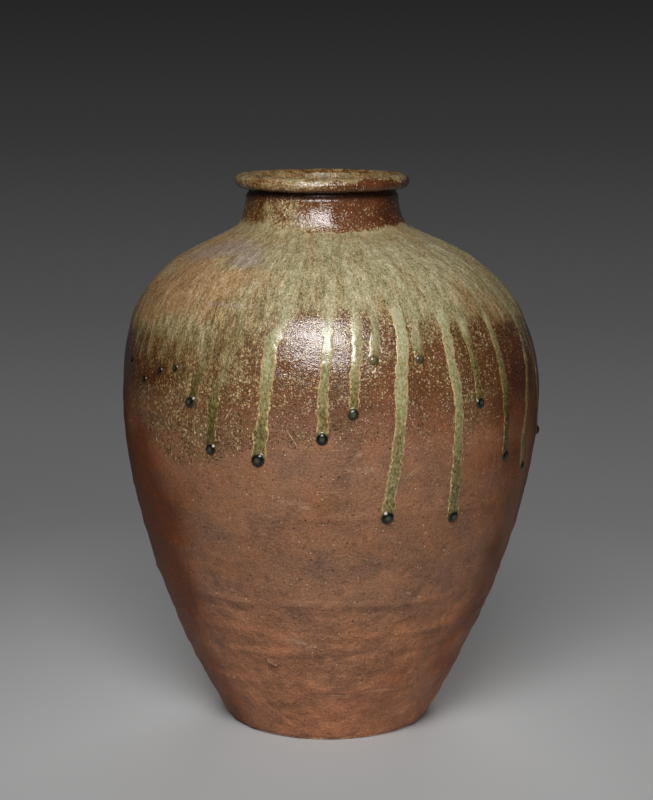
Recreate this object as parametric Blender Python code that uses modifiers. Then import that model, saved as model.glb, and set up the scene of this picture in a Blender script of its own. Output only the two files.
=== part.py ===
"""Large coil-built stoneware water jar, wood-fired, with natural ash glaze.

Metres, +Z up. The origin is the middle of the foot, on the ground. A turn is an angle round the
jar in degrees, from the front, which faces -Y, towards +X.

The potter's pieces are a base slab, seven bands of coils, a neck and a rolled lip, luted together at
scarfed seams. The firing added a coat of ash glaze, the runs that it shed, and a stuck lump of clay.
"""

import math

import bmesh
import bpy
from mathutils import Matrix, Vector
from mathutils.geometry import interpolate_bezier

# Outer wall, from the foot to the underside of the lip. A handle is a curve's pull at its knot
FOOT_RADIUS = 0.0840
FOOT_CHAMFER = 0.0020
FOOT_SLOPE = 59.0  # degrees from the ground
FOOT_HANDLE_LENGTH = 0.1560  # how far the straight flare above the foot carries
BELLY_RADIUS = 0.1737
BELLY_HEIGHT = 0.2750
BELLY_LOWER_HANDLE_LENGTH = 0.0290
BELLY_UPPER_HANDLE_LENGTH = 0.1130
SHOULDER_RISE = 0.1398  # from the belly to the neck's root
SHOULDER_SLOPE = 31.0  # degrees from the ground
SHOULDER_HANDLE_LENGTH = 0.0385
NECK_ROOT_RADIUS = 0.0725
NECK_ROOT_HANDLE_LENGTH = 0.0055
NECK_RADIUS = 0.0632
NECK_FLARE_RISE = 0.0230
NECK_HANDLE_LENGTH = 0.0080
NECK_STRAIGHT = 0.0092

# Clay wall, floor and seams
WALL = 0.0100
FLOOR = 0.0140
SCARF_RISE = 0.0040
SEAM_GAP = 0.00035
SEAM_SWELL = 0.0004  # a luted seam stands a little proud
SEAM_SPREAD = 0.0270  # and fades into the wall on each side
SEAM_SHARES_BELOW = (0.200, 0.475, 0.745, 1.0)  # of the belly's height
SEAM_SHARES_ABOVE = (0.50, 0.82, 1.0)  # of the shoulder's rise

# Rolled lip
LIP_RADIUS = 0.0720
ROLL_HALF_WIDTH = 0.0068
ROLL_HALF_HEIGHT = 0.0057
LIP_CROWN_RISE = 0.0120  # from the neck's top to the top of the clay
ROLL_UNDER_ANGLE = -100.0
ROLL_INNER_ANGLE = 150.0
ROLL_POINTS = 10

# Slump of the fired jar, sideways
BELLY_SHIFT = 0.0023
MOUTH_SHIFT = -0.0046

# Ash glaze
GLAZE_GAP = 0.00045
COAT_THICKNESS = 0.0010
COAT_LAP = 0.0035  # how far the coat climbs above the neck's root
COAT_REACH = 0.1500  # down the wall from the coat's top edge to its lowest lobe
LIP_GLAZE_THICKNESS = 0.0006
LIP_GLAZE_OUTER_ANGLE = 15.0
LIP_GLAZE_INNER_ANGLE = 130.0
LIP_GLAZE_POINTS = 5
NECK_GLAZE_THICKNESS = 0.0007
NECK_GLAZE_RISE = 0.0240
NECK_GLAZE_FIRST_TURN = -150.0
NECK_GLAZE_STEPS = 17

# Runs of glaze and the beads that they end in
RUN_WIDTH = 0.0100
RUN_THICKNESS = 0.0013
RUN_EDGE = 0.0004
RUN_START_GAP = 0.0010
RUN_MARGIN = 0.0050  # least spacing of a run's sections
BEAD_RADIUS = 0.0046
BEAD_HEIGHT = 0.0034
BEAD_BACK_ANGLE = -50.0
BEAD_FRONT_ANGLE = 78.0
BEAD_ROWS = 5
RUN_ACROSS_SHARES = (-1.0, -0.55, 0.0, 0.55, 1.0)
RUN_BACK_SHARES = (-1.0, 0.0, 1.0)

# Lump of clay stuck to the wall in the kiln
LUMP_TURN = -20.4
LUMP_HEIGHT = 0.0760
LUMP_LENGTH = 0.0085
LUMP_WIDTH = 0.0060
LUMP_THICKNESS = 0.0030
LUMP_TILT = 40.0
LUMP_SEGMENTS = 12
LUMP_RINGS = 8

# Fineness of the meshes
TURN_STEPS = 48
OUTER_ROW = 0.0200
INNER_ROW = 0.0400
SPAN_POINTS = 60
EDGE_STEPS = 144
SHARP_ANGLE = 50.0
MERGE = 0.00001

# Lower edge of the coat: (turn, share of the coat's reach)
COAT_EDGE_SHARES = (
    (-90, 0.95), (-68, 0.92), (-58, 0.93), (-50, 0.91), (-44, 0.93), (-36, 0.985), (-28, 0.97),
    (-21, 0.87), (-14, 0.76), (-4, 0.68), (8, 0.68), (16, 0.72), (23, 0.76), (30, 0.76),
    (38, 0.80), (47, 0.82), (57, 0.83), (69, 0.87), (80, 0.90), (96, 0.86), (110, 0.94),
    (126, 0.88), (142, 0.97), (158, 0.90), (176, 0.98), (194, 0.91), (212, 0.96), (230, 0.88),
    (250, 0.96),
)

# Runs: (turn at the coat's edge, turn at the bead, drop from the edge to the bead as a share of the
# coat's reach, width as a share of the run width). The first eighteen are the ones seen from the
# front, the last four of them short drips.
RUN_SHARES = (
    (-35.5, -38.9, 0.168, 0.80),
    (-29.0, -32.5, 0.413, 0.95),
    (-15.5, -18.8, 0.631, 1.15),
    (-0.2, -2.3, 0.617, 1.00),
    (7.8, 5.5, 0.490, 0.95),
    (13.2, 11.7, 0.193, 0.80),
    (20.4, 15.3, 0.982, 1.10),
    (25.0, 24.2, 0.146, 0.70),
    (35.0, 35.5, 0.978, 1.00),
    (42.0, 41.9, 0.356, 0.85),
    (52.6, 53.6, 0.654, 0.90),
    (69.0, 65.6, 0.709, 0.80),
    (78.0, 82.0, 0.542, 0.80),
    (88.0, 91.0, 1.106, 0.90),
    (-68.0, -68.5, 0.084, 0.50),
    (-58.0, -58.8, 0.152, 0.55),
    (-50.5, -51.2, 0.102, 0.50),
    (-44.5, -45.0, 0.057, 0.45),
    (104.0, 101.0, 0.614, 1.00),
    (121.0, 119.0, 0.363, 0.85),
    (139.0, 136.0, 0.827, 1.10),
    (156.0, 157.0, 0.445, 0.90),
    (173.0, 175.0, 0.664, 1.05),
    (191.0, 189.0, 0.285, 0.80),
    (209.0, 207.0, 0.942, 1.00),
    (232.0, 233.0, 0.558, 0.95),
    (254.0, 256.0, 0.710, 1.05),
)

# Finishes: colour, roughness and how clear the coat over it is
CLAY = ((0.235, 0.100, 0.060), 0.55, 0.1)
SHOULDER_CLAY = ((0.130, 0.045, 0.026), 0.40, 0.3)
COAT_GLAZE = ((0.270, 0.250, 0.110), 0.35, 0.5)
RUN_GLAZE = ((0.240, 0.260, 0.120), 0.15, 0.8)
LUMP_CLAY = ((0.330, 0.180, 0.120), 0.70, 0.0)

# Heights worked out from the sizes above
NECK_ROOT_HEIGHT = BELLY_HEIGHT + SHOULDER_RISE
NECK_WAIST_HEIGHT = NECK_ROOT_HEIGHT + NECK_FLARE_RISE
NECK_TOP = NECK_WAIST_HEIGHT + NECK_STRAIGHT


def polar(length, degrees):
    """A step of this length at this angle above level, as (radius, height)."""
    angle = math.radians(degrees)
    return Vector((math.cos(angle), math.sin(angle), 0)) * length


def up(length):
    return polar(length, 90)


def outline_points():
    """Closely spaced (radius, height) points up the outer wall, as smooth curves through its knots."""
    foot = Vector((FOOT_RADIUS, 0, 0))
    belly = Vector((BELLY_RADIUS, BELLY_HEIGHT, 0))
    root = Vector((NECK_ROOT_RADIUS, NECK_ROOT_HEIGHT, 0))
    waist = Vector((NECK_RADIUS, NECK_WAIST_HEIGHT, 0))
    top = Vector((NECK_RADIUS, NECK_TOP + ROLL_HALF_HEIGHT, 0))
    flare = polar(FOOT_HANDLE_LENGTH, FOOT_SLOPE)
    below_belly = belly - up(BELLY_LOWER_HANDLE_LENGTH)
    above_belly = belly + up(BELLY_UPPER_HANDLE_LENGTH)
    below_root = root + polar(SHOULDER_HANDLE_LENGTH, -SHOULDER_SLOPE)
    above_root = root - polar(NECK_ROOT_HANDLE_LENGTH, -SHOULDER_SLOPE)
    below_waist = waist - up(NECK_HANDLE_LENGTH)
    spans = (
        (foot, foot + flare, below_belly, belly),
        (belly, above_belly, below_root, root),
        (root, above_root, below_waist, waist),
        (waist, waist, top, top),
    )
    points = [foot]
    for knot, handle, next_handle, next_knot in spans:
        points += interpolate_bezier(knot, handle, next_handle, next_knot, SPAN_POINTS)[1:]
    return points


class Outline:
    """A (radius, height) line up the outside of the wall, read by the distance along it."""

    def __init__(self, points):
        self.points = points
        self.runs = [0.0]
        for low, high in zip(points, points[1:]):
            self.runs.append(self.runs[-1] + (high - low).length)

    def place(self, distance):
        """The point at this distance, and the direction square to the line there, outwards."""
        index = sum(run <= distance for run in self.runs[1:-1])
        low, high = self.points[index], self.points[index + 1]
        share = (distance - self.runs[index]) / (self.runs[index + 1] - self.runs[index])
        ahead = (high - low).normalized()
        return low.lerp(high, share), Vector((ahead.y, -ahead.x, 0))

    def offset(self, distance, depth):
        """The point that lies this far outside the line, or inside it where depth is negative."""
        point, outwards = self.place(distance)
        return point + outwards * depth

    def distance_at(self, height, depth=0.0):
        """The distance at which the line, or the line offset by depth, reaches a height."""
        low, high = 0.0, self.runs[-1]
        for _ in range(SPAN_POINTS):
            middle = (low + high) / 2
            if self.offset(middle, depth).y < height:
                low = middle
            else:
                high = middle
        return (low + high) / 2

    def corners_between(self, low, high, margin=0.0):
        """Low, the distances of the line's own points between low and high, and high."""
        inner = [run for run in self.runs if low + margin < run < high - margin]
        return [low, *inner, high]


def spaced(low, high, row):
    """Evenly spaced values from low to high, at most about one row apart."""
    steps = max(2, round((high - low) / row))
    return [low + (high - low) * step / steps for step in range(steps + 1)]


def find_seams():
    """Where the courses meet, as distances up the smooth outer line, from the heel to the lip."""
    heights = [share * BELLY_HEIGHT for share in SEAM_SHARES_BELOW]
    heights += [BELLY_HEIGHT + share * SHOULDER_RISE for share in SEAM_SHARES_ABOVE]
    return [LINE.distance_at(height) for height in [*heights, NECK_TOP]]


def course_stretches():
    """The outer stretch of each course, heel to neck, as (low, high) distances up the line."""
    low = LINE.distance_at(FLOOR + SEAM_GAP)
    stretches = []
    for seam in SEAMS:
        stretches.append((low, seam - SEAM_GAP / 2))
        low = seam + SEAM_GAP / 2
    return stretches


def swollen(distance):
    """The point on the clay's outer face, which swells a little at each seam."""
    near = min(abs(distance - seam) for seam in SEAMS)
    return LINE.offset(distance, SEAM_SWELL * max(1 - near / SEAM_SPREAD, 0.0))


def facet_points():
    """The corners of the clay's outer facets, heel to lip, where the glaze lies on them."""
    rows = [row for stretch in course_stretches() for row in spaced(*stretch, OUTER_ROW)[:-1]]
    return [swollen(row) for row in [*rows, SEAMS[-1]]]


LINE = Outline(outline_points())
SEAMS = find_seams()
FACETS = Outline(facet_points())


def smooth(share):
    share = min(max(share, 0.0), 1.0)
    return share * share * (3 - 2 * share)


def slump(height):
    """How far the fired jar's axis has moved sideways at a height."""
    if height < BELLY_HEIGHT:
        return BELLY_SHIFT * smooth(height / BELLY_HEIGHT)
    share = (height - BELLY_HEIGHT) / (NECK_TOP - BELLY_HEIGHT)
    return BELLY_SHIFT + (MOUTH_SHIFT - BELLY_SHIFT) * smooth(share)


def around(radius, height, turn):
    """The point at a radius and a height on the unslumped jar, this many degrees from the front."""
    angle = math.radians(turn)
    return Vector((radius * math.sin(angle), -radius * math.cos(angle), height))


def make_material(name, finish):
    colour, roughness, coat = finish
    material = bpy.data.materials.new(name)
    material.use_nodes = True
    shader = material.node_tree.nodes["Principled BSDF"]
    shader.inputs["Base Color"].default_value = (*colour, 1.0)
    shader.inputs["Roughness"].default_value = roughness
    shader.inputs["Coat Weight"].default_value = coat
    shader.inputs["Metallic"].default_value = 0.0
    return material


def add_object(name, mesh, finish):
    """An object of the jar, with a material of its own, carried by the jar's empty."""
    thing = bpy.data.objects.new(name, mesh)
    mesh.materials.clear()
    mesh.materials.append(make_material(name, finish))
    bpy.data.collections["water_jar"].objects.link(thing)
    thing.parent = bpy.data.objects["jar_origin"]
    return thing


def shade(mesh):
    mesh.shade_smooth()
    mesh.set_sharp_from_angle(angle=math.radians(SHARP_ANGLE))


def settle(thing):
    """Replaces an object's mesh with what its modifiers make of it, slumped as the fired jar is."""
    graph = bpy.context.evaluated_depsgraph_get()
    mesh = bpy.data.meshes.new_from_object(thing.evaluated_get(graph))
    for vertex in mesh.vertices:
        vertex.co.x += slump(vertex.co.z)
    thing.modifiers.clear()
    thing.data = mesh
    shade(mesh)


def turn_profile(name, points, finish, closed, first_turn=90.0, steps=TURN_STEPS, thickness=0.0):
    """Spins (radius, height) points, which run down the outer side, and thickens an open outline."""
    mesh = bpy.data.meshes.new(name)
    shape = bmesh.new()
    corners = [shape.verts.new(around(point.x, point.y, first_turn)) for point in points]
    ends = corners[1:] + corners[:1] if closed else corners[1:]
    for start, end in zip(corners, ends):
        shape.edges.new((start, end))
    shape.to_mesh(mesh)
    shape.free()
    thing = add_object(name, mesh, finish)
    screw = thing.modifiers.new("turned", "SCREW")
    screw.angle = math.tau * steps / TURN_STEPS
    screw.steps = steps
    screw.render_steps = steps
    screw.use_merge_vertices = True
    screw.merge_threshold = MERGE
    if thickness:
        skin = thing.modifiers.new("thickness", "SOLIDIFY")
        skin.thickness = thickness
        skin.offset = 1.0
        skin.use_even_offset = True
    settle(thing)
    return thing


def add_base_slab():
    """The round slab: a flat underside with a worn edge, and the wall's slope up its side."""
    points = [
        Vector((0, FLOOR, 0)),
        LINE.offset(LINE.distance_at(FLOOR), 0),
        LINE.offset(LINE.distance_at(FOOT_CHAMFER), 0),
        Vector((FOOT_RADIUS - FOOT_CHAMFER, 0, 0)),
        Vector((0, 0, 0)),
    ]
    turn_profile("base_slab", points, CLAY, closed=False)


def add_band(name, finish, outside, inside):
    """A ring of wall between an outer and an inner stretch, each a (low, high) pair of distances."""
    wall = [swollen(distance) for distance in reversed(spaced(*outside, OUTER_ROW))]
    lining = [LINE.offset(distance, -WALL) for distance in spaced(*inside, INNER_ROW)]
    turn_profile(name, wall + lining, finish, closed=True)


def add_courses():
    """The bands of coils. Each seam slopes up through the wall, and the heel sits on the slab."""
    bands = (
        ("heel_course", CLAY),
        ("lower_course", CLAY),
        ("middle_course", CLAY),
        ("belly_course", CLAY),
        ("upper_belly_course", SHOULDER_CLAY),
        ("shoulder_course", SHOULDER_CLAY),
        ("collar_course", SHOULDER_CLAY),
        ("neck", SHOULDER_CLAY),
    )
    inner_low = LINE.distance_at(FLOOR + SEAM_GAP, -WALL)
    for (name, finish), (low, high) in zip(bands, course_stretches()):
        inner_high = high + SCARF_RISE
        add_band(name, finish, (low, high), (inner_low, inner_high))
        inner_low = inner_high + SEAM_GAP


def roll_point(degrees, depth=0.0):
    """A point on the lip's roll, this many degrees above level on its outer side."""
    angle = math.radians(degrees)
    centre_radius = LIP_RADIUS - ROLL_HALF_WIDTH
    centre_height = NECK_TOP + LIP_CROWN_RISE - ROLL_HALF_HEIGHT
    width = ROLL_HALF_WIDTH + depth
    height = ROLL_HALF_HEIGHT + depth
    radius = centre_radius + width * math.cos(angle)
    return Vector((radius, centre_height + height * math.sin(angle), 0))


def roll_arc(first, last, count, depth=0.0):
    angles = [first + (last - first) * step / (count - 1) for step in range(count)]
    return [roll_point(angle, depth) for angle in angles]


def add_lip():
    """The rolled coil round the mouth, on the neck's scarfed top."""
    seam = SEAMS[-1] + SEAM_GAP / 2
    points = roll_arc(ROLL_INNER_ANGLE, ROLL_UNDER_ANGLE, ROLL_POINTS)
    points.append(swollen(seam))
    points.append(LINE.offset(seam + SCARF_RISE, -WALL))
    turn_profile("lip", points, SHOULDER_CLAY, closed=True)


def add_lip_glaze():
    """Ash melted on the top of the roll."""
    points = roll_arc(LIP_GLAZE_INNER_ANGLE, LIP_GLAZE_OUTER_ANGLE, LIP_GLAZE_POINTS, GLAZE_GAP)
    turn_profile("lip_ash_glaze", points, COAT_GLAZE, closed=False, thickness=LIP_GLAZE_THICKNESS)


def coat_edge(turn):
    """The coat's lower edge at a turn, as a distance up the facets, straight between its points."""
    first = COAT_EDGE_SHARES[0][0]
    turn = first + (turn - first) % 360
    points = [*COAT_EDGE_SHARES, (first + 360, COAT_EDGE_SHARES[0][1])]
    for (low, low_share), (high, high_share) in zip(points, points[1:]):
        if turn <= high:
            break
    share = low_share + (high_share - low_share) * (turn - low) / (high - low)
    return coat_top() - share * COAT_REACH


def coat_top():
    return FACETS.distance_at(NECK_ROOT_HEIGHT) + COAT_LAP


def add_coat_cutter():
    """A ring round the body whose wavy top, square to the wall, follows the coat's lower edge."""
    lowest = FACETS.place(coat_top() - COAT_REACH - 2 * OUTER_ROW)[0].y
    bottom = LINE.distance_at(lowest)
    depth = 2 * WALL
    shape = bmesh.new()
    rings = []
    for step in range(EDGE_STEPS):
        turn = 360 * step / EDGE_STEPS
        edge = LINE.distance_at(FACETS.place(coat_edge(turn))[0].y)
        corners = ((edge, -depth), (edge, depth), (bottom, depth), (bottom, -depth))
        section = [LINE.offset(*corner) for corner in corners]
        rings.append([shape.verts.new(around(point.x, point.y, turn)) for point in section])
    for ring, following in zip(rings, rings[1:] + rings[:1]):
        for corner in range(4):
            after = (corner + 1) % 4
            shape.faces.new((ring[corner], following[corner], following[after], ring[after]))
    bmesh.ops.recalc_face_normals(shape, faces=shape.faces)
    mesh = bpy.data.meshes.new("coat_edge_cutter")
    shape.to_mesh(mesh)
    shape.free()
    cutter = bpy.data.objects.new("coat_edge_cutter", mesh)
    cutter.display_type = "WIRE"
    cutter.hide_render = True
    bpy.data.collections["cutters"].objects.link(cutter)
    return cutter


def add_skin(name, stretch, thickness, **sweep):
    """A thin skin of glaze over a stretch of the wall, each facet over one of the clay's."""
    rows = FACETS.corners_between(*stretch, margin=COAT_LAP / 2)
    points = [FACETS.offset(row, GLAZE_GAP) for row in reversed(rows)]
    return turn_profile(name, points, COAT_GLAZE, closed=False, thickness=thickness, **sweep)


def add_coat(cutter):
    """The coat of melted ash on the shoulder, a thin skin cut along its wavy lower edge."""
    stretch = (coat_top() - COAT_REACH - OUTER_ROW, coat_top())
    coat = add_skin("shoulder_ash_glaze", stretch, COAT_THICKNESS)
    cut = coat.modifiers.new("lower_edge", "BOOLEAN")
    cut.operation = "DIFFERENCE"
    cut.solver = "EXACT"
    cut.object = cutter


def add_neck_glaze():
    """The patch of ash glaze that climbs the left side of the neck, above the coat."""
    low = coat_top() + SEAM_GAP
    add_skin(
        "neck_ash_glaze",
        (low, low + NECK_GLAZE_RISE),
        NECK_GLAZE_THICKNESS,
        first_turn=NECK_GLAZE_FIRST_TURN,
        steps=NECK_GLAZE_STEPS,
    )


def run_rows(bead_row, top, bead, half_width):
    """Sections down a run, as (distance up the wall, half width, thickness at the middle)."""
    bead_back = bead_row + bead * math.sin(math.radians(-BEAD_BACK_ANGLE))
    corners = FACETS.corners_between(bead_back, top, margin=RUN_MARGIN)
    rows = [(row, half_width, RUN_THICKNESS) for row in reversed(corners[1:])]
    for step in range(BEAD_ROWS):
        angle = BEAD_BACK_ANGLE + (BEAD_FRONT_ANGLE - BEAD_BACK_ANGLE) * step / (BEAD_ROWS - 1)
        share = math.cos(math.radians(angle))
        row = bead_row - bead * math.sin(math.radians(angle))
        rows.append((row, bead * share, RUN_EDGE + (BEAD_HEIGHT - RUN_EDGE) * share))
    return rows


def run_section(turn, row, half_width, crown, at_coat):
    """One closed section of a run: across its domed face, then back along the wall."""
    face, back = [], []
    for share in RUN_ACROSS_SHARES:
        radius = FACETS.place(row)[0].x
        place = turn + math.degrees(share * half_width / radius)
        level = coat_edge(place) - RUN_START_GAP if at_coat else row
        depth = GLAZE_GAP + RUN_EDGE + (crown - RUN_EDGE) * (1 - share * share)
        outer = FACETS.offset(level, depth)
        face.append(around(outer.x, outer.y, place))
        if share in RUN_BACK_SHARES:
            inner = FACETS.offset(level, GLAZE_GAP)
            back.append(around(inner.x, inner.y, place))
    return face + back[::-1]


def add_run(name, turn, bead_turn, drop_share, width_share):
    """A run of glaze and its end bead, lofted down the wall from the coat's edge."""
    bead = BEAD_RADIUS * (1 + width_share) / 2
    top = coat_edge(turn) - RUN_START_GAP
    bead_row = top - drop_share * COAT_REACH
    shape = bmesh.new()
    rings = []
    for row, half_width, crown in run_rows(bead_row, top, bead, RUN_WIDTH * width_share / 2):
        fall = smooth((top - row) / (top - bead_row))
        here = turn + (bead_turn - turn) * fall
        section = run_section(here, row, half_width, crown, at_coat=row == top)
        rings.append([shape.verts.new(point) for point in section])
    count = len(rings[0])
    for ring, following in zip(rings, rings[1:]):
        for corner in range(count):
            after = (corner + 1) % count
            shape.faces.new((ring[corner], following[corner], following[after], ring[after]))
    shape.faces.new(rings[0])
    shape.faces.new(reversed(rings[-1]))
    bmesh.ops.triangulate(shape, faces=shape.faces)
    bmesh.ops.recalc_face_normals(shape, faces=shape.faces)
    mesh = bpy.data.meshes.new(name)
    shape.to_mesh(mesh)
    shape.free()
    settle(add_object(name, mesh, RUN_GLAZE))


def add_lump():
    """Half an ellipsoid of clay, flat side to the wall, turned across its slope."""
    shape = bmesh.new()
    bmesh.ops.create_uvsphere(
        shape, u_segments=LUMP_SEGMENTS, v_segments=LUMP_RINGS, radius=1.0
    )
    geometry = [*shape.verts, *shape.edges, *shape.faces]
    bmesh.ops.bisect_plane(
        shape, geom=geometry, plane_co=(0, 0, 0), plane_no=(0, 0, -1), clear_outer=True
    )
    bmesh.ops.holes_fill(shape, edges=[edge for edge in shape.edges if edge.is_boundary])
    size = Vector((LUMP_LENGTH / 2, LUMP_WIDTH / 2, LUMP_THICKNESS))
    bmesh.ops.scale(shape, vec=size, verts=shape.verts)
    mesh = bpy.data.meshes.new("clay_lump")
    shape.to_mesh(mesh)
    shape.free()
    shade(mesh)
    lump = add_object("clay_lump", mesh, LUMP_CLAY)
    distance = FACETS.distance_at(LUMP_HEIGHT)
    seat = FACETS.offset(distance, GLAZE_GAP)
    outwards = FACETS.place(distance)[1]
    normal = around(outwards.x, outwards.y, LUMP_TURN)
    place = around(seat.x, seat.y, LUMP_TURN)
    place.x += slump(place.z)
    facing = normal.to_track_quat("Z", "Y").to_matrix().to_4x4()
    spin = Matrix.Rotation(math.radians(LUMP_TILT), 4, "Z")
    lump.matrix_world = Matrix.Translation(place) @ facing @ spin


def clear_scene():
    for thing in list(bpy.data.objects):
        bpy.data.objects.remove(thing)
    for name in ("water_jar", "cutters"):
        collection = bpy.data.collections.new(name)
        bpy.context.scene.collection.children.link(collection)
    bpy.data.collections["cutters"].hide_render = True
    origin = bpy.data.objects.new("jar_origin", None)
    bpy.data.collections["water_jar"].objects.link(origin)


def main():
    clear_scene()
    add_base_slab()
    add_courses()
    add_lip()
    add_coat(add_coat_cutter())
    add_neck_glaze()
    add_lip_glaze()
    for number, run in enumerate(RUN_SHARES, 1):
        add_run(f"glaze_run_{number:02d}", *run)
    add_lump()


main()
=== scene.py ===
"""Looks of a wood-fired stoneware water jar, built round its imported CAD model.

The jar is one surface of revolution that slumped a little in the kiln. Every clay course, glaze
skin and glaze run reads that surface from one Wall, and every finish reads where the ash fell from
one Firing, so that neighbouring pieces meet without a visible seam. Metres, +Z up. A turn is an
angle round the jar in degrees from its front, -Y, towards +X. A climb is a distance up the wall.
"""

import logging
import math
from dataclasses import dataclass, field
from enum import Enum
from functools import partial

import bpy
import numpy as np
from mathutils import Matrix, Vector


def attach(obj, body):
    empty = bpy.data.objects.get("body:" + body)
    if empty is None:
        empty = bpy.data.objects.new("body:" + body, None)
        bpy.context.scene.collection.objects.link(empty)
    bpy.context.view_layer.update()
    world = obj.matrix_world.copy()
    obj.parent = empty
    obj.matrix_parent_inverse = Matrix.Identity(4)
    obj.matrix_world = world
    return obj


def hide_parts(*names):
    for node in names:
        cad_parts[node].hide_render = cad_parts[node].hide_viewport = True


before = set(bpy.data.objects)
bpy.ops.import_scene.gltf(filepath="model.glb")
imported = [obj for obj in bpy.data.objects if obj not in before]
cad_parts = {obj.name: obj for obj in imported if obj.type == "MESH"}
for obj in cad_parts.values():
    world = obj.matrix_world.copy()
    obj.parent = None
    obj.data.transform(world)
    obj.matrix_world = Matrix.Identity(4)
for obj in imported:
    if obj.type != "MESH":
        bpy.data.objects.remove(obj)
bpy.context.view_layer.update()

LOG = logging.getLogger("water_jar")
Array = np.ndarray
Tree = bpy.types.NodeTree
Node = bpy.types.Node
Socket = bpy.types.NodeSocket
Feed = Node | Socket | float | tuple  # what can feed a node's input


class Slot(Enum):
    """The record's material slots."""

    BODY_CLAY = "body_clay"
    SHOULDER_CLAY = "shoulder_clay"
    ASH_GLAZE = "ash_glaze"
    RUN_GLAZE = "run_glaze"
    KILN_CLAY = "kiln_clay"


class Mask(Enum):
    """What the firing left at a point of the surface, and painted shade, kept as values on the
    meshes.
    """

    ASH = "ash"  # 0 bare clay, 1 covered with melted ash
    FLOW = "flow"  # -1 to 1, thin and brown to thick and pale green
    SCORCH = "scorch"  # 1 where the ash stayed matt and orange-brown
    PATCH = "patch"  # 1 in the grey bare patches
    FLASH_AND_SHADE = "flash"  # -1 purple-grey to 1 orange: flame colour, painted side shade and a painted front sheen
    FILM = "film"  # 1 where a thin dark gloss covers the clay
    RIM = "rim"  # 0 at a run's middle, 1 at its border
    POOL = "pool"  # 1 where a run's glass pools dark in its bead
    RISE = "rise"  # 0 where a run still belongs to the coat, 1 where it stands free
    SCUFF = "scuff"  # 1 where something rubbed or scratched the clay pale
    DOWN = "down"  # the place on the wall unrolled to a cylinder, shortened down the flow


# ------------------------------------------------------------------ shape of the wall


def smooth(share: Array) -> Array:
    """An even step from 0 to 1 as the share goes from 0 to 1."""
    share = np.clip(share, 0.0, 1.0)
    return share * share * (3 - 2 * share)


def drift(turn: Array, rise: Array, across: float, up: float, seed: int) -> Array:
    """A smooth random field on the wall that closes on itself round the jar.

    Args:
        turn: turns in degrees.
        rise: heights or climbs in metres, from 0 to 0.6.
        across: width of the field's patches at the belly, in metres.
        up: height of its patches, in metres.
        seed: seed of its random values.

    Returns:
        Values from -1 to 1, in the shape of turn and rise together.
    """
    columns = max(4, round(math.tau * Wall.belly_radius / across))
    lattice = np.random.default_rng(seed).uniform(-1, 1, (int(0.7 / up) + 4, columns))
    along = np.asarray(turn) / 360 * columns
    level = np.asarray(rise) / up + 1
    column, row = np.floor(along).astype(int), np.floor(level).astype(int)
    right, above = smooth(along - column), smooth(level - row)
    row = np.clip(row, 0, len(lattice) - 2)
    here, following = column % columns, (column + 1) % columns
    low = lattice[row, here] * (1 - right) + lattice[row, following] * right
    high = lattice[row + 1, here] * (1 - right) + lattice[row + 1, following] * right
    return low * (1 - above) + high * above


def drifts(turn: Array, rise: Array, *rows: tuple) -> Array:
    """The sum of several drifts, each given as its amount, across, up and seed."""
    return sum(amount * drift(turn, rise, *row) for amount, *row in rows)


def turn_from(turn: Array, middle: Array) -> Array:
    """How far some turns lie from a middle one, the short way round."""
    return (turn - middle + 180) % 360 - 180


def facing(turn: Array, middle: float) -> Array:
    """How much some turns face the same way as a middle one, from -1 to 1."""
    return np.cos(np.radians(turn - middle))


def ridge(rise: Array, middle: Array, width: float) -> Array:
    """A soft ridge of height 1 round a level, this wide to each side."""
    return np.exp(-(((rise - middle) / width) ** 2))


def read_table(table: tuple, turn: Array) -> Array:
    """Values of a table of (turn, value) rows at some turns, straight between its rows."""
    turns, values = np.array(table, float).T
    return np.interp(np.asarray(turn) % 360, turns % 360, values, period=360)


@dataclass
class Mark:
    """A dent, or a smear when its depth is negative, that something left on the wet clay."""

    turn: float
    height: float
    length: float
    width: float
    depth: float
    tilt: float = 0.0  # degrees from level

    def lie(self, turn: Array, height: Array) -> Array:
        """How far the mark moves the surface inwards at some points."""
        across = np.radians(turn_from(turn, self.turn)) * Wall.belly_radius
        level = height - self.height
        angle = math.radians(self.tilt)
        long = across * math.cos(angle) + level * math.sin(angle)
        wide = level * math.cos(angle) - across * math.sin(angle)
        return self.depth * np.exp(-((long / self.length) ** 2) - (wide / self.width) ** 2)


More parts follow.
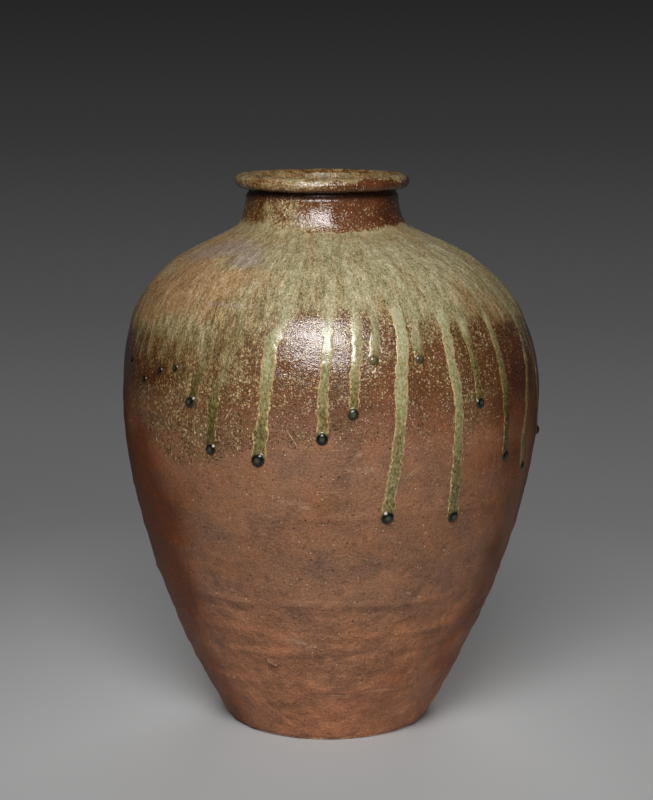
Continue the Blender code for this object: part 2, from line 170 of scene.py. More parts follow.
@dataclass
class Wall:
    """The outside of the jar: its turned outline, its slump and the relief of the coils."""

    foot_radius: float = 0.0840
    foot_chamfer: float = 0.0020
    foot_slope: float = 59.0
    foot_handle: float = 0.1560
    belly_radius: float = 0.1737
    belly_height: float = 0.2750
    belly_lower_handle: float = 0.0290
    belly_upper_handle: float = 0.1130
    shoulder_slope: float = 31.0
    shoulder_handle: float = 0.0385
    root_radius: float = 0.0725
    root_height: float = 0.4148
    root_handle: float = 0.0055
    neck_radius: float = 0.0632
    waist_height: float = 0.4378
    waist_handle: float = 0.0080
    neck_top: float = 0.4470
    tucked_top: float = 0.4530
    thickness: float = 0.0100
    foot_relief: float = 0.1500  # below this height the wall was scraped and is rougher
    coil_relief: float = 0.00030
    coil_width: float = 0.0036
    scrape_relief: float = 0.0006
    chip_relief: float = 0.0014
    ring_pitch: float = 0.0031  # throwing rings on the neck
    ring_relief: float = 0.00006
    groove_depth: float = 0.0022  # under the lip
    finger_pitch: float = 0.0210
    belly_shift: float = 0.0023
    mouth_shift: float = -0.0046
    span_points: int = 500
    seams: tuple = (0.0140, 0.0550, 0.1306, 0.2049, 0.2750, 0.3449, 0.3896, 0.4148)
    coil_ridges: tuple = (0.052, 0.086, 0.103, 0.131, 0.168, 0.205)
    uneven: tuple = (  # relief, how much more near the foot, and the drift's across, up and seed
        (0.00055, 0.0, 0.085, 0.060, 11),
        (0.00036, 0.00028, 0.034, 0.022, 12),
        (0.00024, 0.00040, 0.018, 0.010, 13),
        (0.00009, 0.00012, 0.008, 0.005, 14),
    )
    marks: tuple = (
        Mark(-20.2, 0.020, 0.0060, 0.0016, 0.0011, -24.0),
        Mark(-9.0, 0.096, 0.0110, 0.0030, -0.0006, -26.0),
        Mark(-17.0, 0.104, 0.0070, 0.0040, 0.0005, 10.0),
        Mark(17.0, 0.089, 0.0160, 0.0080, 0.0009, 24.0),
        Mark(2.0, 0.112, 0.0220, 0.0060, 0.0007, -6.0),
        Mark(28.0, 0.064, 0.0180, 0.0080, 0.0008, 16.0),
        Mark(-28.0, 0.118, 0.0160, 0.0090, 0.0007, -12.0),
        Mark(44.0, 0.116, 0.0200, 0.0080, 0.0008, 14.0),
        Mark(-46.0, 0.082, 0.0180, 0.0080, 0.0008, -8.0),
        Mark(74.0, 0.094, 0.0220, 0.0090, 0.0009, 8.0),
        Mark(112.0, 0.108, 0.0200, 0.0080, 0.0008, -14.0),
        Mark(150.0, 0.086, 0.0220, 0.0080, 0.0009, 12.0),
        Mark(190.0, 0.112, 0.0190, 0.0090, 0.0008, -10.0),
        Mark(228.0, 0.092, 0.0210, 0.0080, 0.0009, 16.0),
        Mark(262.0, 0.108, 0.0180, 0.0080, 0.0008, -8.0),
        Mark(14.0, 0.0496, 0.0120, 0.0009, 0.0007, 3.0),
        Mark(23.0, 0.0900, 0.0040, 0.0010, 0.0008, 8.0),
        Mark(4.0, 0.0880, 0.0140, 0.0010, 0.0004, -3.0),
        Mark(96.0, 0.0520, 0.0160, 0.0010, 0.0006, -2.0),
        Mark(205.0, 0.0880, 0.0150, 0.0010, 0.0006, 3.0),
    )
    line: Array = field(init=False)
    climbs: Array = field(init=False)
    outwards: Array = field(init=False)

    def __post_init__(self) -> None:
        """Lays the outline out once, as closely spaced points, climbs and outward directions."""
        foot = np.array((self.foot_radius, 0.0))
        belly = np.array((self.belly_radius, self.belly_height))
        root = np.array((self.root_radius, self.root_height))
        waist = np.array((self.neck_radius, self.waist_height))
        top = np.array((self.neck_radius, self.tucked_top))
        up = np.array((0.0, 1.0))
        slope = self.polar(self.shoulder_slope)
        heel = foot + self.foot_handle * self.polar(-self.foot_slope)
        spans = (
            (foot, heel, belly - up * self.belly_lower_handle, belly),
            (
                belly,
                belly + up * self.belly_upper_handle,
                root + slope * self.shoulder_handle,
                root,
            ),
            (root, root - slope * self.root_handle, waist - up * self.waist_handle, waist),
            (waist, waist, top, top),
        )
        share = np.linspace(0, 1, self.span_points)[1:, None]
        parts = [foot[None]]
        for first, second, third, last in spans:
            parts.append(
                first * (1 - share) ** 3
                + 3 * second * share * (1 - share) ** 2
                + 3 * third * share**2 * (1 - share)
                + last * share**3
            )
        self.line = np.vstack(parts)
        steps = np.hypot(*np.diff(self.line, axis=0).T)
        self.climbs = np.concatenate([[0.0], np.cumsum(steps)])
        ahead = np.gradient(self.line, self.climbs, axis=0)
        ahead /= np.hypot(*ahead.T)[:, None]
        self.outwards = np.stack([ahead[:, 1], -ahead[:, 0]], axis=1)

    @staticmethod
    def polar(degrees: float) -> Array:
        """A unit step down and out at this slope, as (radius, height)."""
        return np.array((math.cos(math.radians(degrees)), -math.sin(math.radians(degrees))))

    def climb_at(self, height: Array) -> Array:
        """The climb at which the outline reaches some heights."""
        return np.interp(height, self.line[:, 1], self.climbs)

    def radius_at(self, height: Array) -> Array:
        """The radius of the outline at some heights."""
        return np.interp(height, self.line[:, 1], self.line[:, 0])

    def radius_along(self, climb: Array) -> Array:
        """The radius of the outline at some climbs."""
        return np.interp(climb, self.climbs, self.line[:, 0])

    def height_at(self, climb: Array) -> Array:
        """The height of the outline at some climbs."""
        return np.interp(climb, self.climbs, self.line[:, 1])

    def slump(self, height: Array) -> Array:
        """How far the fired jar's axis has moved sideways at some heights."""
        low = self.belly_shift * smooth(height / self.belly_height)
        share = (height - self.belly_height) / (self.neck_top - self.belly_height)
        return low + (self.mouth_shift - self.belly_shift) * smooth(share)

    def relief(self, turn: Array, height: Array) -> Array:
        """How far the coils, the potter's hands and old marks move the face outwards."""
        lower = smooth((self.foot_relief - height) / 0.03)
        rows = ((relief + more * lower, *row) for relief, more, *row in self.uneven)
        lie = drifts(turn, height, *rows)
        for number, level in enumerate((*self.seams[1:], *self.coil_ridges)):
            wander = 0.0022 * drift(turn, height * 0, 0.090, 0.1, 30 + number)
            strength = 0.6 + 0.7 * drift(turn, height * 0, 0.055, 0.1, 60 + number)
            deep = self.coil_relief + 0.00038 * smooth((self.foot_relief - level) / 0.03)
            lie += deep * strength * ridge(height, level + wander, self.coil_width)
        scraped = np.abs(drift(turn, height, 0.048, 0.019, 15))
        lie -= self.scrape_relief * lower * smooth((height - 0.012) / 0.02) * (1 - scraped) ** 3
        for mark in self.marks:
            lie -= mark.lie(turn, height)
        chips = np.clip(drift(turn, height, 0.0045, 0.0030, 16) - 0.15, 0, 1)
        lie -= self.chip_relief * chips * smooth((0.0045 - height) / 0.0045)
        neck = smooth((height - 0.418) / 0.006)
        wobble = 0.8 * drift(turn, height, 0.10, 0.02, 17)
        rings = np.sin(height * math.tau / self.ring_pitch + wobble)
        lie += neck * (self.ring_relief * rings + 0.00010 * drift(turn, height, 0.012, 0.004, 18))
        return lie - self.groove_depth * smooth((height - 0.4415) / 0.0035)

    def place(self, turn: Array, climb: Array, proud: Array = 0.0) -> Array:
        """Points on the outer face.

        Args:
            turn: turns in degrees.
            climb: climbs in metres.
            proud: how far the points stand out from the clay's face.

        Returns:
            Points, one for each turn and climb.
        """
        turn, climb = np.broadcast_arrays(turn, climb)
        height = self.height_at(climb)
        return self.stand(turn, climb, self.relief(turn, height) + proud)

    def stand(self, turn: Array, climb: Array, depth: Array) -> Array:
        """Points this far outside the bare outline, on the slumped jar."""
        out, rise = (np.interp(climb, self.climbs, side) * depth for side in self.outwards.T)
        return self.spin(turn, self.radius_along(climb) + out, self.height_at(climb) + rise)

    def lining(self, turn: Array, climb: Array) -> Array:
        """Points on the inner face, which shows the potter's fingers."""
        turn, climb = np.broadcast_arrays(turn, climb)
        height = self.height_at(climb)
        wander = drift(turn, height, 0.12, 0.04, 19)
        fingers = 0.0004 * np.sin(height * math.tau / self.finger_pitch + wander)
        fingers += 0.0005 * drift(turn, height, 0.05, 0.02, 20)
        return self.stand(turn, climb, fingers - self.thickness)

    def spin(self, turn: Array, radius: Array, height: Array) -> Array:
        """Points at these turns, radii and heights, moved sideways as the jar slumped."""
        angle = np.radians(turn)
        east = radius * np.sin(angle) + self.slump(height)
        return np.stack(np.broadcast_arrays(east, -radius * np.cos(angle), height), axis=-1)


# ------------------------------------------------------------------ what the firing left


@dataclass(frozen=True)
class Route:
    """The way that one run of glaze took down the wall.

    Its stops are (turn, height) pairs from the coat down to the middle of the bead.
    """

    width: float
    stops: tuple
    tone: float = 0.0  # below 0 browner and darker
    depth: float = 1.0  # 1 where the bead is deep enough to look black

    def turn_at(self, height: Array) -> Array:
        """The run's turn at some heights, straight up above its first stop."""
        turns, heights = np.array(self.stops, float).T
        return np.interp(height, heights[::-1], turns[::-1])

    @property
    def bead_height(self) -> float:
        """The height of the bead's middle."""
        return self.stops[-1][1]


ROUTES = (
    Route(0.0092, ((-34.6, 0.334), (-34.9, 0.325), (-37.0, 0.305), (-38.9, 0.292)), -0.45),
    Route(
        0.0092,
        ((-28.2, 0.328), (-28.4, 0.318), (-30.8, 0.305), (-31.9, 0.274), (-32.4, 0.257)),
        -0.40,
    ),
    Route(
        0.0112,
        (
            (-12.2, 0.361), (-15.4, 0.340), (-16.2, 0.320), (-16.8, 0.299), (-17.7, 0.277),
            (-18.8, 0.252),
        ),
    ),
    Route(0.0098, ((0.4, 0.366), (-0.3, 0.336), (-1.9, 0.305), (-2.1, 0.279), (-2.3, 0.270))),
    Route(0.0092, ((8.6, 0.366), (7.6, 0.341), (6.3, 0.310), (5.5, 0.289)), 0.0, 0.88),
    Route(0.0080, ((13.5, 0.358), (12.9, 0.343), (11.7, 0.329)), 0.0, 0.55),
    Route(
        0.0108,
        (
            (21.1, 0.378), (20.4, 0.345), (18.6, 0.310), (17.9, 0.283), (17.0, 0.256),
            (15.7, 0.220), (15.3, 0.206),
        ),
    ),
    Route(0.0070, ((25.8, 0.361), (24.6, 0.344), (24.2, 0.328)), 0.0, 0.75),
    Route(
        0.0098,
        ((35.6, 0.378), (35.0, 0.353), (33.9, 0.325), (34.8, 0.290), (34.8, 0.236), (35.5, 0.201)),
        -0.10,
    ),
    Route(0.0084, ((43.3, 0.364), (41.2, 0.346), (41.9, 0.322), (41.9, 0.290)), -0.20),
    Route(
        0.0088,
        ((53.2, 0.369), (52.3, 0.352), (52.9, 0.322), (53.1, 0.282), (53.6, 0.243)),
        -0.20,
    ),
    Route(0.0080, ((69.2, 0.345), (68.1, 0.309), (66.0, 0.284), (64.3, 0.252), (65.6, 0.228))),
    Route(0.0080, ((78.4, 0.340), (77.6, 0.293), (79.5, 0.268), (81.8, 0.249))),
    Route(0.0090, ((87.8, 0.345), (88.3, 0.280), (89.4, 0.215), (91.0, 0.168))),
    Route(0.0056, ((-68.0, 0.330), (-68.4, 0.3135)), -0.90),
    Route(0.0060, ((-58.0, 0.330), (-58.8, 0.302)), -0.90),
    Route(0.0056, ((-50.5, 0.330), (-51.2, 0.312)), -0.90),
    Route(0.0052, ((-44.5, 0.328), (-45.0, 0.316)), -0.90),
    Route(0.0098, ((104.0, 0.345), (102.6, 0.300), (101.0, 0.2365))),
    Route(0.0086, ((121.0, 0.345), (120.4, 0.310), (119.0, 0.275))),
    Route(0.0106, ((139.0, 0.340), (138.4, 0.290), (136.6, 0.240), (136.0, 0.198))),
    Route(0.0090, ((156.0, 0.340), (156.8, 0.300), (157.0, 0.261))),
    Route(0.0102, ((173.0, 0.335), (173.6, 0.290), (175.0, 0.220))),
    Route(0.0082, ((191.0, 0.340), (190.0, 0.310), (189.0, 0.283))),
    Route(0.0098, ((209.0, 0.335), (208.6, 0.280), (206.8, 0.230), (207.0, 0.1815))),
    Route(0.0094, ((232.0, 0.340), (232.8, 0.300), (233.0, 0.2475))),
    Route(0.0102, ((254.0, 0.335), (254.6, 0.290), (256.0, 0.2145))),
)


@dataclass(frozen=True)
class Blotch:
    """A soft-edged patch round a point of the wall."""

    turn: float
    height: float
    half_width: float
    half_rise: float
    strength: float = 1.0

    def lie(self, turn: Array, height: Array) -> Array:
        """The patch's strength at some points, with a ragged edge."""
        across = np.radians(turn_from(turn, self.turn)) * Wall.belly_radius / self.half_width
        level = (height - self.height) / self.half_rise
        ragged = drifts(turn, height, (0.35, 0.016, 0.012, 41), (0.20, 0.005, 0.006, 42))
        return self.strength * smooth(1.45 - np.hypot(across, level) + ragged)


@dataclass(frozen=True)
class Scratch:
    """A straight rub or scratch from one (turn, height) to another."""

    start: tuple
    end: tuple
    width: float = 0.0009
    strength: float = 1.0

    def lie(self, turn: Array, height: Array) -> Array:
        """The scratch's strength at some points, broken here and there."""
        (first, low), (last, high) = self.start, self.end
        point = np.stack([np.radians(turn_from(turn, first)) * Wall.belly_radius, height - low])
        way = np.array((math.radians(last - first) * Wall.belly_radius, high - low))
        share = np.clip(np.tensordot(way, point, 1) / (way @ way), 0, 1)
        off = np.hypot(point[0] - share * way[0], point[1] - share * way[1])
        broken = np.clip(0.35 + 1.6 * drift(turn, height, 0.0035, 0.0022, 46), 0, 1)
        return self.strength * broken * np.exp(-((off / self.width) ** 2))

    def draw(self, tree: Tree, place: Socket, wall: Wall) -> Node:
        """Draws the scratch as a crisp line in a material, finer than the mesh can hold it.

        Args:
            tree: the material's node tree.
            place: the socket of the place on the jar, in metres.
            wall: the wall that it lies on.

        Returns:
            The node that gives the scratch's strength.
        """
        turns, heights = np.array((self.start, self.end)).T
        first, last = wall.spin(turns, wall.radius_at(heights), heights)
        along = last - first
        middle = math.radians(turns.mean())
        outwards = np.array((math.sin(middle), -math.cos(middle), 0.0))
        across = np.cross(outwards, along)
        half = float(np.linalg.norm(along)) / 2
        off = add_node(tree, "VectorMath.SUBTRACT", place, tuple((first + last) / 2))
        shown = add_node(tree, "VectorMath.DOT_PRODUCT", off, tuple(outwards))
        shown = add_node(tree, "Math.GREATER_THAN", shown, -0.03)  # not through the jar
        for way, reach, solid in ((across, self.width, 0.3), (along, half, 0.6)):
            near = add_node(tree, "VectorMath.DOT_PRODUCT", off, tuple(way / np.linalg.norm(way)))
            near = add_node(tree, "Math.ABSOLUTE", near)
            near = add_node(tree, "MapRange", near, reach, reach * solid)
            shown = add_node(tree, "Math.MULTIPLY", shown, near)
        return add_node(tree, "Math.MULTIPLY", shown, self.strength)


@dataclass
class Firing:
    """Where the ash fell, melted and ran, how the flame coloured the clay, and painted side shade.
    """

    wall: Wall
    coat_top: float = 0.4180
    coat_reach: float = 0.1500
    edge_cover: float = 0.62  # how much of the clay the coat covers at its lower edge
    full_cover: float = 0.40  # how much more it covers further up
    coat_width: float = 0.024
    stream_cover: float = 0.50
    trickle_cover: float = 0.75
    trickle_turns: float = 0.55  # half a trickle's width, in degrees
    neck_root: float = 0.4185
    film_start: float = 0.2620  # the clay's gloss fades in from here
    film_rise: float = 0.0500
    upright_from: float = 0.4080  # climbs count more on the neck, so that its streaks stay short
    taper: float = 0.35  # how fast the unrolled wall narrows; 1 keeps the jar's own shape
    stretch: float = 0.60
    neck_stretch: float = 1.30
    edge_shares: tuple = (
        (-90, 0.95), (-68, 0.92), (-58, 0.93), (-50, 0.91), (-44, 0.93), (-36, 0.985), (-28, 0.97),
        (-21, 0.87), (-14, 0.76), (-4, 0.68), (8, 0.68), (16, 0.72), (23, 0.76), (30, 0.76),
        (38, 0.80), (47, 0.82), (57, 0.83), (69, 0.87), (80, 0.90), (96, 0.86), (110, 0.94),
        (126, 0.88), (142, 0.97), (158, 0.90), (176, 0.98), (194, 0.91), (212, 0.96), (230, 0.88),
        (250, 0.96),
    )
    speck_limits: tuple = (
        (-90, 0.300), (-69, 0.272), (-56, 0.250), (-44, 0.234), (-34, 0.238), (-22, 0.252),
        (-12, 0.258), (22, 0.260), (42, 0.262), (55, 0.268), (66, 0.280), (84, 0.286),
        (105, 0.278), (140, 0.262), (180, 0.256), (220, 0.268), (250, 0.288),
    )
    speck_shares: tuple = (
        (-90, 0.34), (-72, 0.42), (-64, 0.66), (-45, 0.72), (-28, 0.60), (-12, 0.56), (4, 0.56),
        (16, 0.50), (26, 0.56), (40, 0.58), (50, 0.38), (66, 0.24), (84, 0.24), (120, 0.50),
        (170, 0.60), (230, 0.52),
    )
    trickles: tuple = (
        ((70.5, 0.352), (73.5, 0.325), (73.0, 0.262)),
        ((75.5, 0.345), (76.5, 0.300), (75.0, 0.240)),
        ((66.5, 0.352), (71.0, 0.334), (71.8, 0.318)),
        ((-62.0, 0.346), (-63.0, 0.322), (-63.0, 0.312)),
    )
    scratches: tuple = (
        Scratch((3.6, 0.2455), (11.0, 0.2450), 0.0018, 0.40),
        Scratch((6.0, 0.2575), (10.0, 0.2570), 0.0022, 0.40),
        Scratch((-14.0, 0.1000), (-5.0, 0.0930), 0.0026, 0.55),
        Scratch((-14.0, 0.2200), (-6.0, 0.2150), 0.0022, 0.3),
        Scratch((24.0, 0.1400), (30.0, 0.1330), 0.0012, 0.5),
        Scratch((120.0, 0.190), (124.0, 0.204)),
        Scratch((168.0, 0.110), (178.0, 0.106), 0.0018, 0.6),
        Scratch((214.0, 0.236), (219.0, 0.222)),
        Scratch((262.0, 0.150), (270.0, 0.146), 0.0014, 0.6),
    )
    scorches: tuple = (
        Blotch(-50.0, 0.378, 0.062, 0.021, 1.0),
        Blotch(-66.0, 0.362, 0.040, 0.018, 0.9),
        Blotch(-72.0, 0.398, 0.055, 0.016, 0.8),
        Blotch(-92.0, 0.372, 0.050, 0.026, 0.7),
        Blotch(-30.0, 0.386, 0.030, 0.008, 0.7),
        Blotch(58.0, 0.356, 0.022, 0.014, 0.5),
        Blotch(48.0, 0.362, 0.016, 0.010, 0.4),
        Blotch(-49.0, 0.286, 0.030, 0.013, 0.5),
        Blotch(150.0, 0.372, 0.050, 0.016, 0.7),
        Blotch(232.0, 0.364, 0.046, 0.018, 0.8),
    )
    patches: tuple = (
        Blotch(-46.0, 0.4035, 0.050, 0.0060, 0.9),
        Blotch(-34.0, 0.3960, 0.032, 0.0050, 1.0),
        Blotch(-65.0, 0.3980, 0.030, 0.0070, 0.7),
        Blotch(-28.0, 0.3660, 0.026, 0.0016, 0.7),
        Blotch(196.0, 0.396, 0.036, 0.007, 0.7),
    )

    def coat_edge(self, turn: Array) -> Array:
        """The climb of the coat's lower edge at some turns."""
        top = self.wall.climb_at(self.coat_top)
        return top - self.coat_reach * read_table(self.edge_shares, turn)

    def streams(self, turn: Array, height: Array) -> Array:
        """How much a point lies in glaze that gathers into a run, from 0 to 1."""
        stream = np.zeros(np.broadcast(turn, height).shape)
        radius = self.wall.radius_at(height)
        for number, route in enumerate(ROUTES):
            start = route.stops[0][1]
            sway = 1.6 * drift(turn * 0, height, 0.05, 0.022, 70 + number)
            middle = route.turn_at(height) + sway * smooth((height - start) / 0.02)
            across = np.radians(turn_from(turn, middle)) * radius
            spread = route.width * (0.42 + 0.28 * smooth((height - start) / 0.03))
            reach = smooth((height - start + 0.030) / 0.012)
            reach = reach * (1 - 0.60 * smooth((height - start - 0.015) / 0.055))
            stream = np.maximum(stream, reach * np.exp(-((across / spread) ** 2)))
        return stream

    def ash(self, turn: Array, climb: Array) -> Array:
        """How much of the surface the melted ash covers."""
        height = self.wall.height_at(climb)
        edge = self.coat_edge(turn)
        limit = self.wall.climb_at(read_table(self.speck_limits, turn))
        above = self.edge_cover + self.full_cover * smooth((climb - edge) / self.coat_width)
        dusted = read_table(self.speck_shares, turn)
        fall = np.clip((edge - climb) / (edge - limit), 0, 1) ** 0.8
        below = dusted * (1 - 0.44 * fall) * smooth((climb - limit + 0.004) / 0.016)
        above = above - (self.edge_cover - dusted) * smooth(1 - (climb - edge) / 0.010)
        cover = np.where(climb > edge, above, below)
        streams = self.streams(turn, height) * smooth((height - 0.315) / 0.02)
        cover = cover + self.stream_cover * streams
        for number, stops in enumerate(self.trickles):
            turns, heights = np.array(stops).T
            sway = 0.5 * drift(turn * 0, height, 0.05, 0.012, 140 + number)
            middle = np.interp(height, heights[::-1], turns[::-1]) + sway
            within = smooth((height - heights[-1]) / 0.012) * smooth((heights[0] - height) / 0.012)
            trickle = within * ridge(turn_from(turn, middle), 0.0, self.trickle_turns)
            cover = cover + self.trickle_cover * trickle
        cover = cover + drifts(turn, height, (0.09, 0.012, 0.009, 43), (0.09, 0.030, 0.022, 44))
        front = smooth((facing(turn, 5) - 0.55) / 0.35)
        root = self.neck_root - 0.0045 * front + 0.0016 * drift(turn, height * 0, 0.03, 0.1, 47)
        neck = smooth((height - root) / 0.004)
        left = smooth((facing(turn, -75) - 0.10) / 0.45)
        on_neck = 0.14 + 0.42 * left + 0.16 * drift(turn, height, 0.014, 0.008, 45)
        on_neck = on_neck + 0.20 * smooth((0.427 - height) / 0.008)
        on_neck = on_neck - 0.16 * smooth((height - 0.436) / 0.008)
        return np.clip(cover * (1 - neck) + on_neck * neck, 0, 1)

    def flow(self, turn: Array, climb: Array) -> Array:
        """How thick and pale the glaze is, in streaks down the slope."""
        height = self.wall.height_at(climb)
        steep = 0.010 * drift(turn, climb, 0.030, 0.030, 50)
        lean = turn + np.degrees(steep / Wall.belly_radius)
        streak = drifts(lean, climb, (0.42, 0.0062, 0.040, 51), (0.42, 0.0034, 0.018, 52))
        streak += 0.50 * drift(turn, climb, 0.026, 0.026, 53) - 0.15
        left = smooth((facing(turn, -68) - 0.25) / 0.55)
        streak *= 1 - 0.8 * smooth((height - 0.410) / 0.008)
        streak += (0.9 - 1.1 * left) * self.streams(turn, height)
        streak -= 0.35 * left * smooth((0.385 - height) / 0.020)
        streak -= (0.7 - 0.5 * left) * smooth((height - 0.4035) / 0.010)
        return np.clip(streak, -1, 1)

    def masks(self, turn: Array, climb: Array) -> dict[Mask, Array]:
        """The firing's values at points of the outer face.

        Args:
            turn: turns in degrees.
            climb: climbs in metres.

        Returns:
            An array for each mask that the clay and the glaze skins read.
        """
        turn, climb = np.broadcast_arrays(turn, climb)
        height = self.wall.height_at(climb)
        values = {
            Mask.DOWN: self.unroll(turn, climb),
            Mask.ASH: self.ash(turn, climb),
            Mask.FLOW: self.flow(turn, climb),
            Mask.FLASH_AND_SHADE: self.flash(turn, height),
            Mask.FILM: smooth((height - self.film_start) / self.film_rise),
        }
        spots = {Mask.SCORCH: self.scorches, Mask.PATCH: self.patches, Mask.SCUFF: self.scratches}
        for mask, placed in spots.items():
            values[mask] = np.clip(sum(spot.lie(turn, height) for spot in placed), 0, 1)
        return values

    def flash(self, turn: Array, height: Array) -> Array:
        """How the flame coloured the clay: orange on the sides, purple-grey in front.

        The sides also carry painted shade, darker on the left, and the front a painted sheen.
        """
        flash = drifts(turn, height, (0.35, 0.090, 0.070, 61), (0.25, 0.030, 0.020, 62))
        # painted shade: the sides get more of the mask the further they turn from the front, the
        # left most; the front stays low, a purple-grey painted sheen
        right = np.sin(np.radians(turn)) > 0
        sides = smooth((0.90 + 0.07 * right - facing(turn, 0)) / 0.50)
        flash += (1.15 - 0.45 * right) * sides - 0.30
        flash *= 1 - 0.5 * smooth((-0.2 - facing(turn, 0)) / 0.4)
        flash += 0.32 * smooth((height - 0.4175) / 0.004)
        low_left = smooth((facing(turn, -50) - 0.60) / 0.3) * smooth((0.374 - height) / 0.020)
        flash += 0.42 * low_left * smooth((height - 0.285) / 0.020)
        return np.clip(flash, -1, 1)

    def unroll(self, turn: Array, climb: Array) -> Array:
        """Places on the wall unrolled to a near-cylinder, where patterns stretch down the flow."""
        share = self.wall.radius_along(climb) / Wall.belly_radius
        radius, angle = Wall.belly_radius * share**self.taper, np.radians(turn)
        upright = np.clip(climb - self.wall.climb_at(self.upright_from), 0, None)
        rise = self.stretch * climb + self.neck_stretch * upright
        return np.stack([np.sin(angle) * radius, -np.cos(angle) * radius, rise], axis=-1)


# ------------------------------------------------------------------ finishes


def linear(code: str) -> tuple[float, float, float, float]:
    """A linear colour with full alpha from an sRGB hex code such as #8a5c48."""
    levels = (int(code[start : start + 2], 16) / 255 for start in (1, 3, 5))
    red, green, blue = (
        level / 12.92 if level <= 0.04045 else ((level + 0.055) / 1.055) ** 2.4 for level in levels
    )
    return red, green, blue, 1.0


def per_metre(millimetres: float) -> float:
    """The scale of a pattern whose cells are this many millimetres wide."""
    return 1000.0 / millimetres


def feed(entry: Socket, source: Feed) -> None:
    """Gives an input a value, or links it to a socket or to a node's first output in use."""
    if isinstance(source, Node):
        source = next(output for output in source.outputs if output.enabled)
    if isinstance(source, Socket):
        entry.id_data.links.new(source, entry)
    else:
        entry.default_value = source


def add_node(tree: Tree, kind: str, *sources: Feed, **settings: object) -> Node:
    """Adds a node with its settings and links.

    Args:
        tree: the node tree that it goes into.
        kind: the node's type without its leading ShaderNode, then a dot and its operation or
            data type where it has one.
        sources: what feeds its inputs in use, from the first one on.
        settings: other inputs or settings of the node, by name. The setting "stops" holds a
            ramp's (position, hex code) pairs.

    Returns:
        The new node.
    """
    kind, _, mode = kind.partition(".")
    node = tree.nodes.new("ShaderNode" + kind)
    if mode:
        setattr(node, "data_type" if kind == "Mix" else "operation", mode)
    for key, value in settings.items():
        if key == "stops":
            ramp = node.color_ramp.elements
            while len(ramp) < len(value):
                ramp.new(1.0)
            for stop, (position, code) in zip(ramp, value):
                stop.position, stop.color = position, linear(code)
        elif key in node.inputs:
            feed(node.inputs[key], value)
        else:
            setattr(node, key, value)
    entries = [entry for entry in node.inputs if entry.enabled]
    for entry, source in zip(entries, sources):
        feed(entry, source)
    return node


def pile_up(tree: Tree, start: Feed, *terms: tuple, clamp: bool = False) -> Node:
    """Adds (weight, source) terms to a start, and holds the sum between 0 and 1 if asked."""
    for weight, source in terms:
        start = add_node(tree, "Math.MULTIPLY_ADD", source, weight, start)
    start.use_clamp = clamp
    return start


@dataclass
class Layer:
    """One layer of a surface, as what feeds each part of its look."""

    colour: Feed
    roughness: Feed
    height: Feed  # in metres
    gloss: Feed  # 1 under a full clear skin


def read_mask(tree: Tree, mask: Mask) -> Socket:
    """The socket of a firing mask on the mesh."""
    output = "Vector" if mask is Mask.DOWN else "Fac"
    return add_node(tree, "Attribute", attribute_name=mask.value).outputs[output]


def lay_over(tree: Tree, share: Feed, low: Layer, high: Layer) -> Layer:
    """A layer that shows the high layer over the low one by a share."""
    colour = add_node(tree, "Mix.RGBA", share, low.colour, high.colour)
    rest = [(getattr(low, part), getattr(high, part)) for part in ("roughness", "height", "gloss")]
    return Layer(colour, *(add_node(tree, "Mix.FLOAT", share, *pair) for pair in rest))


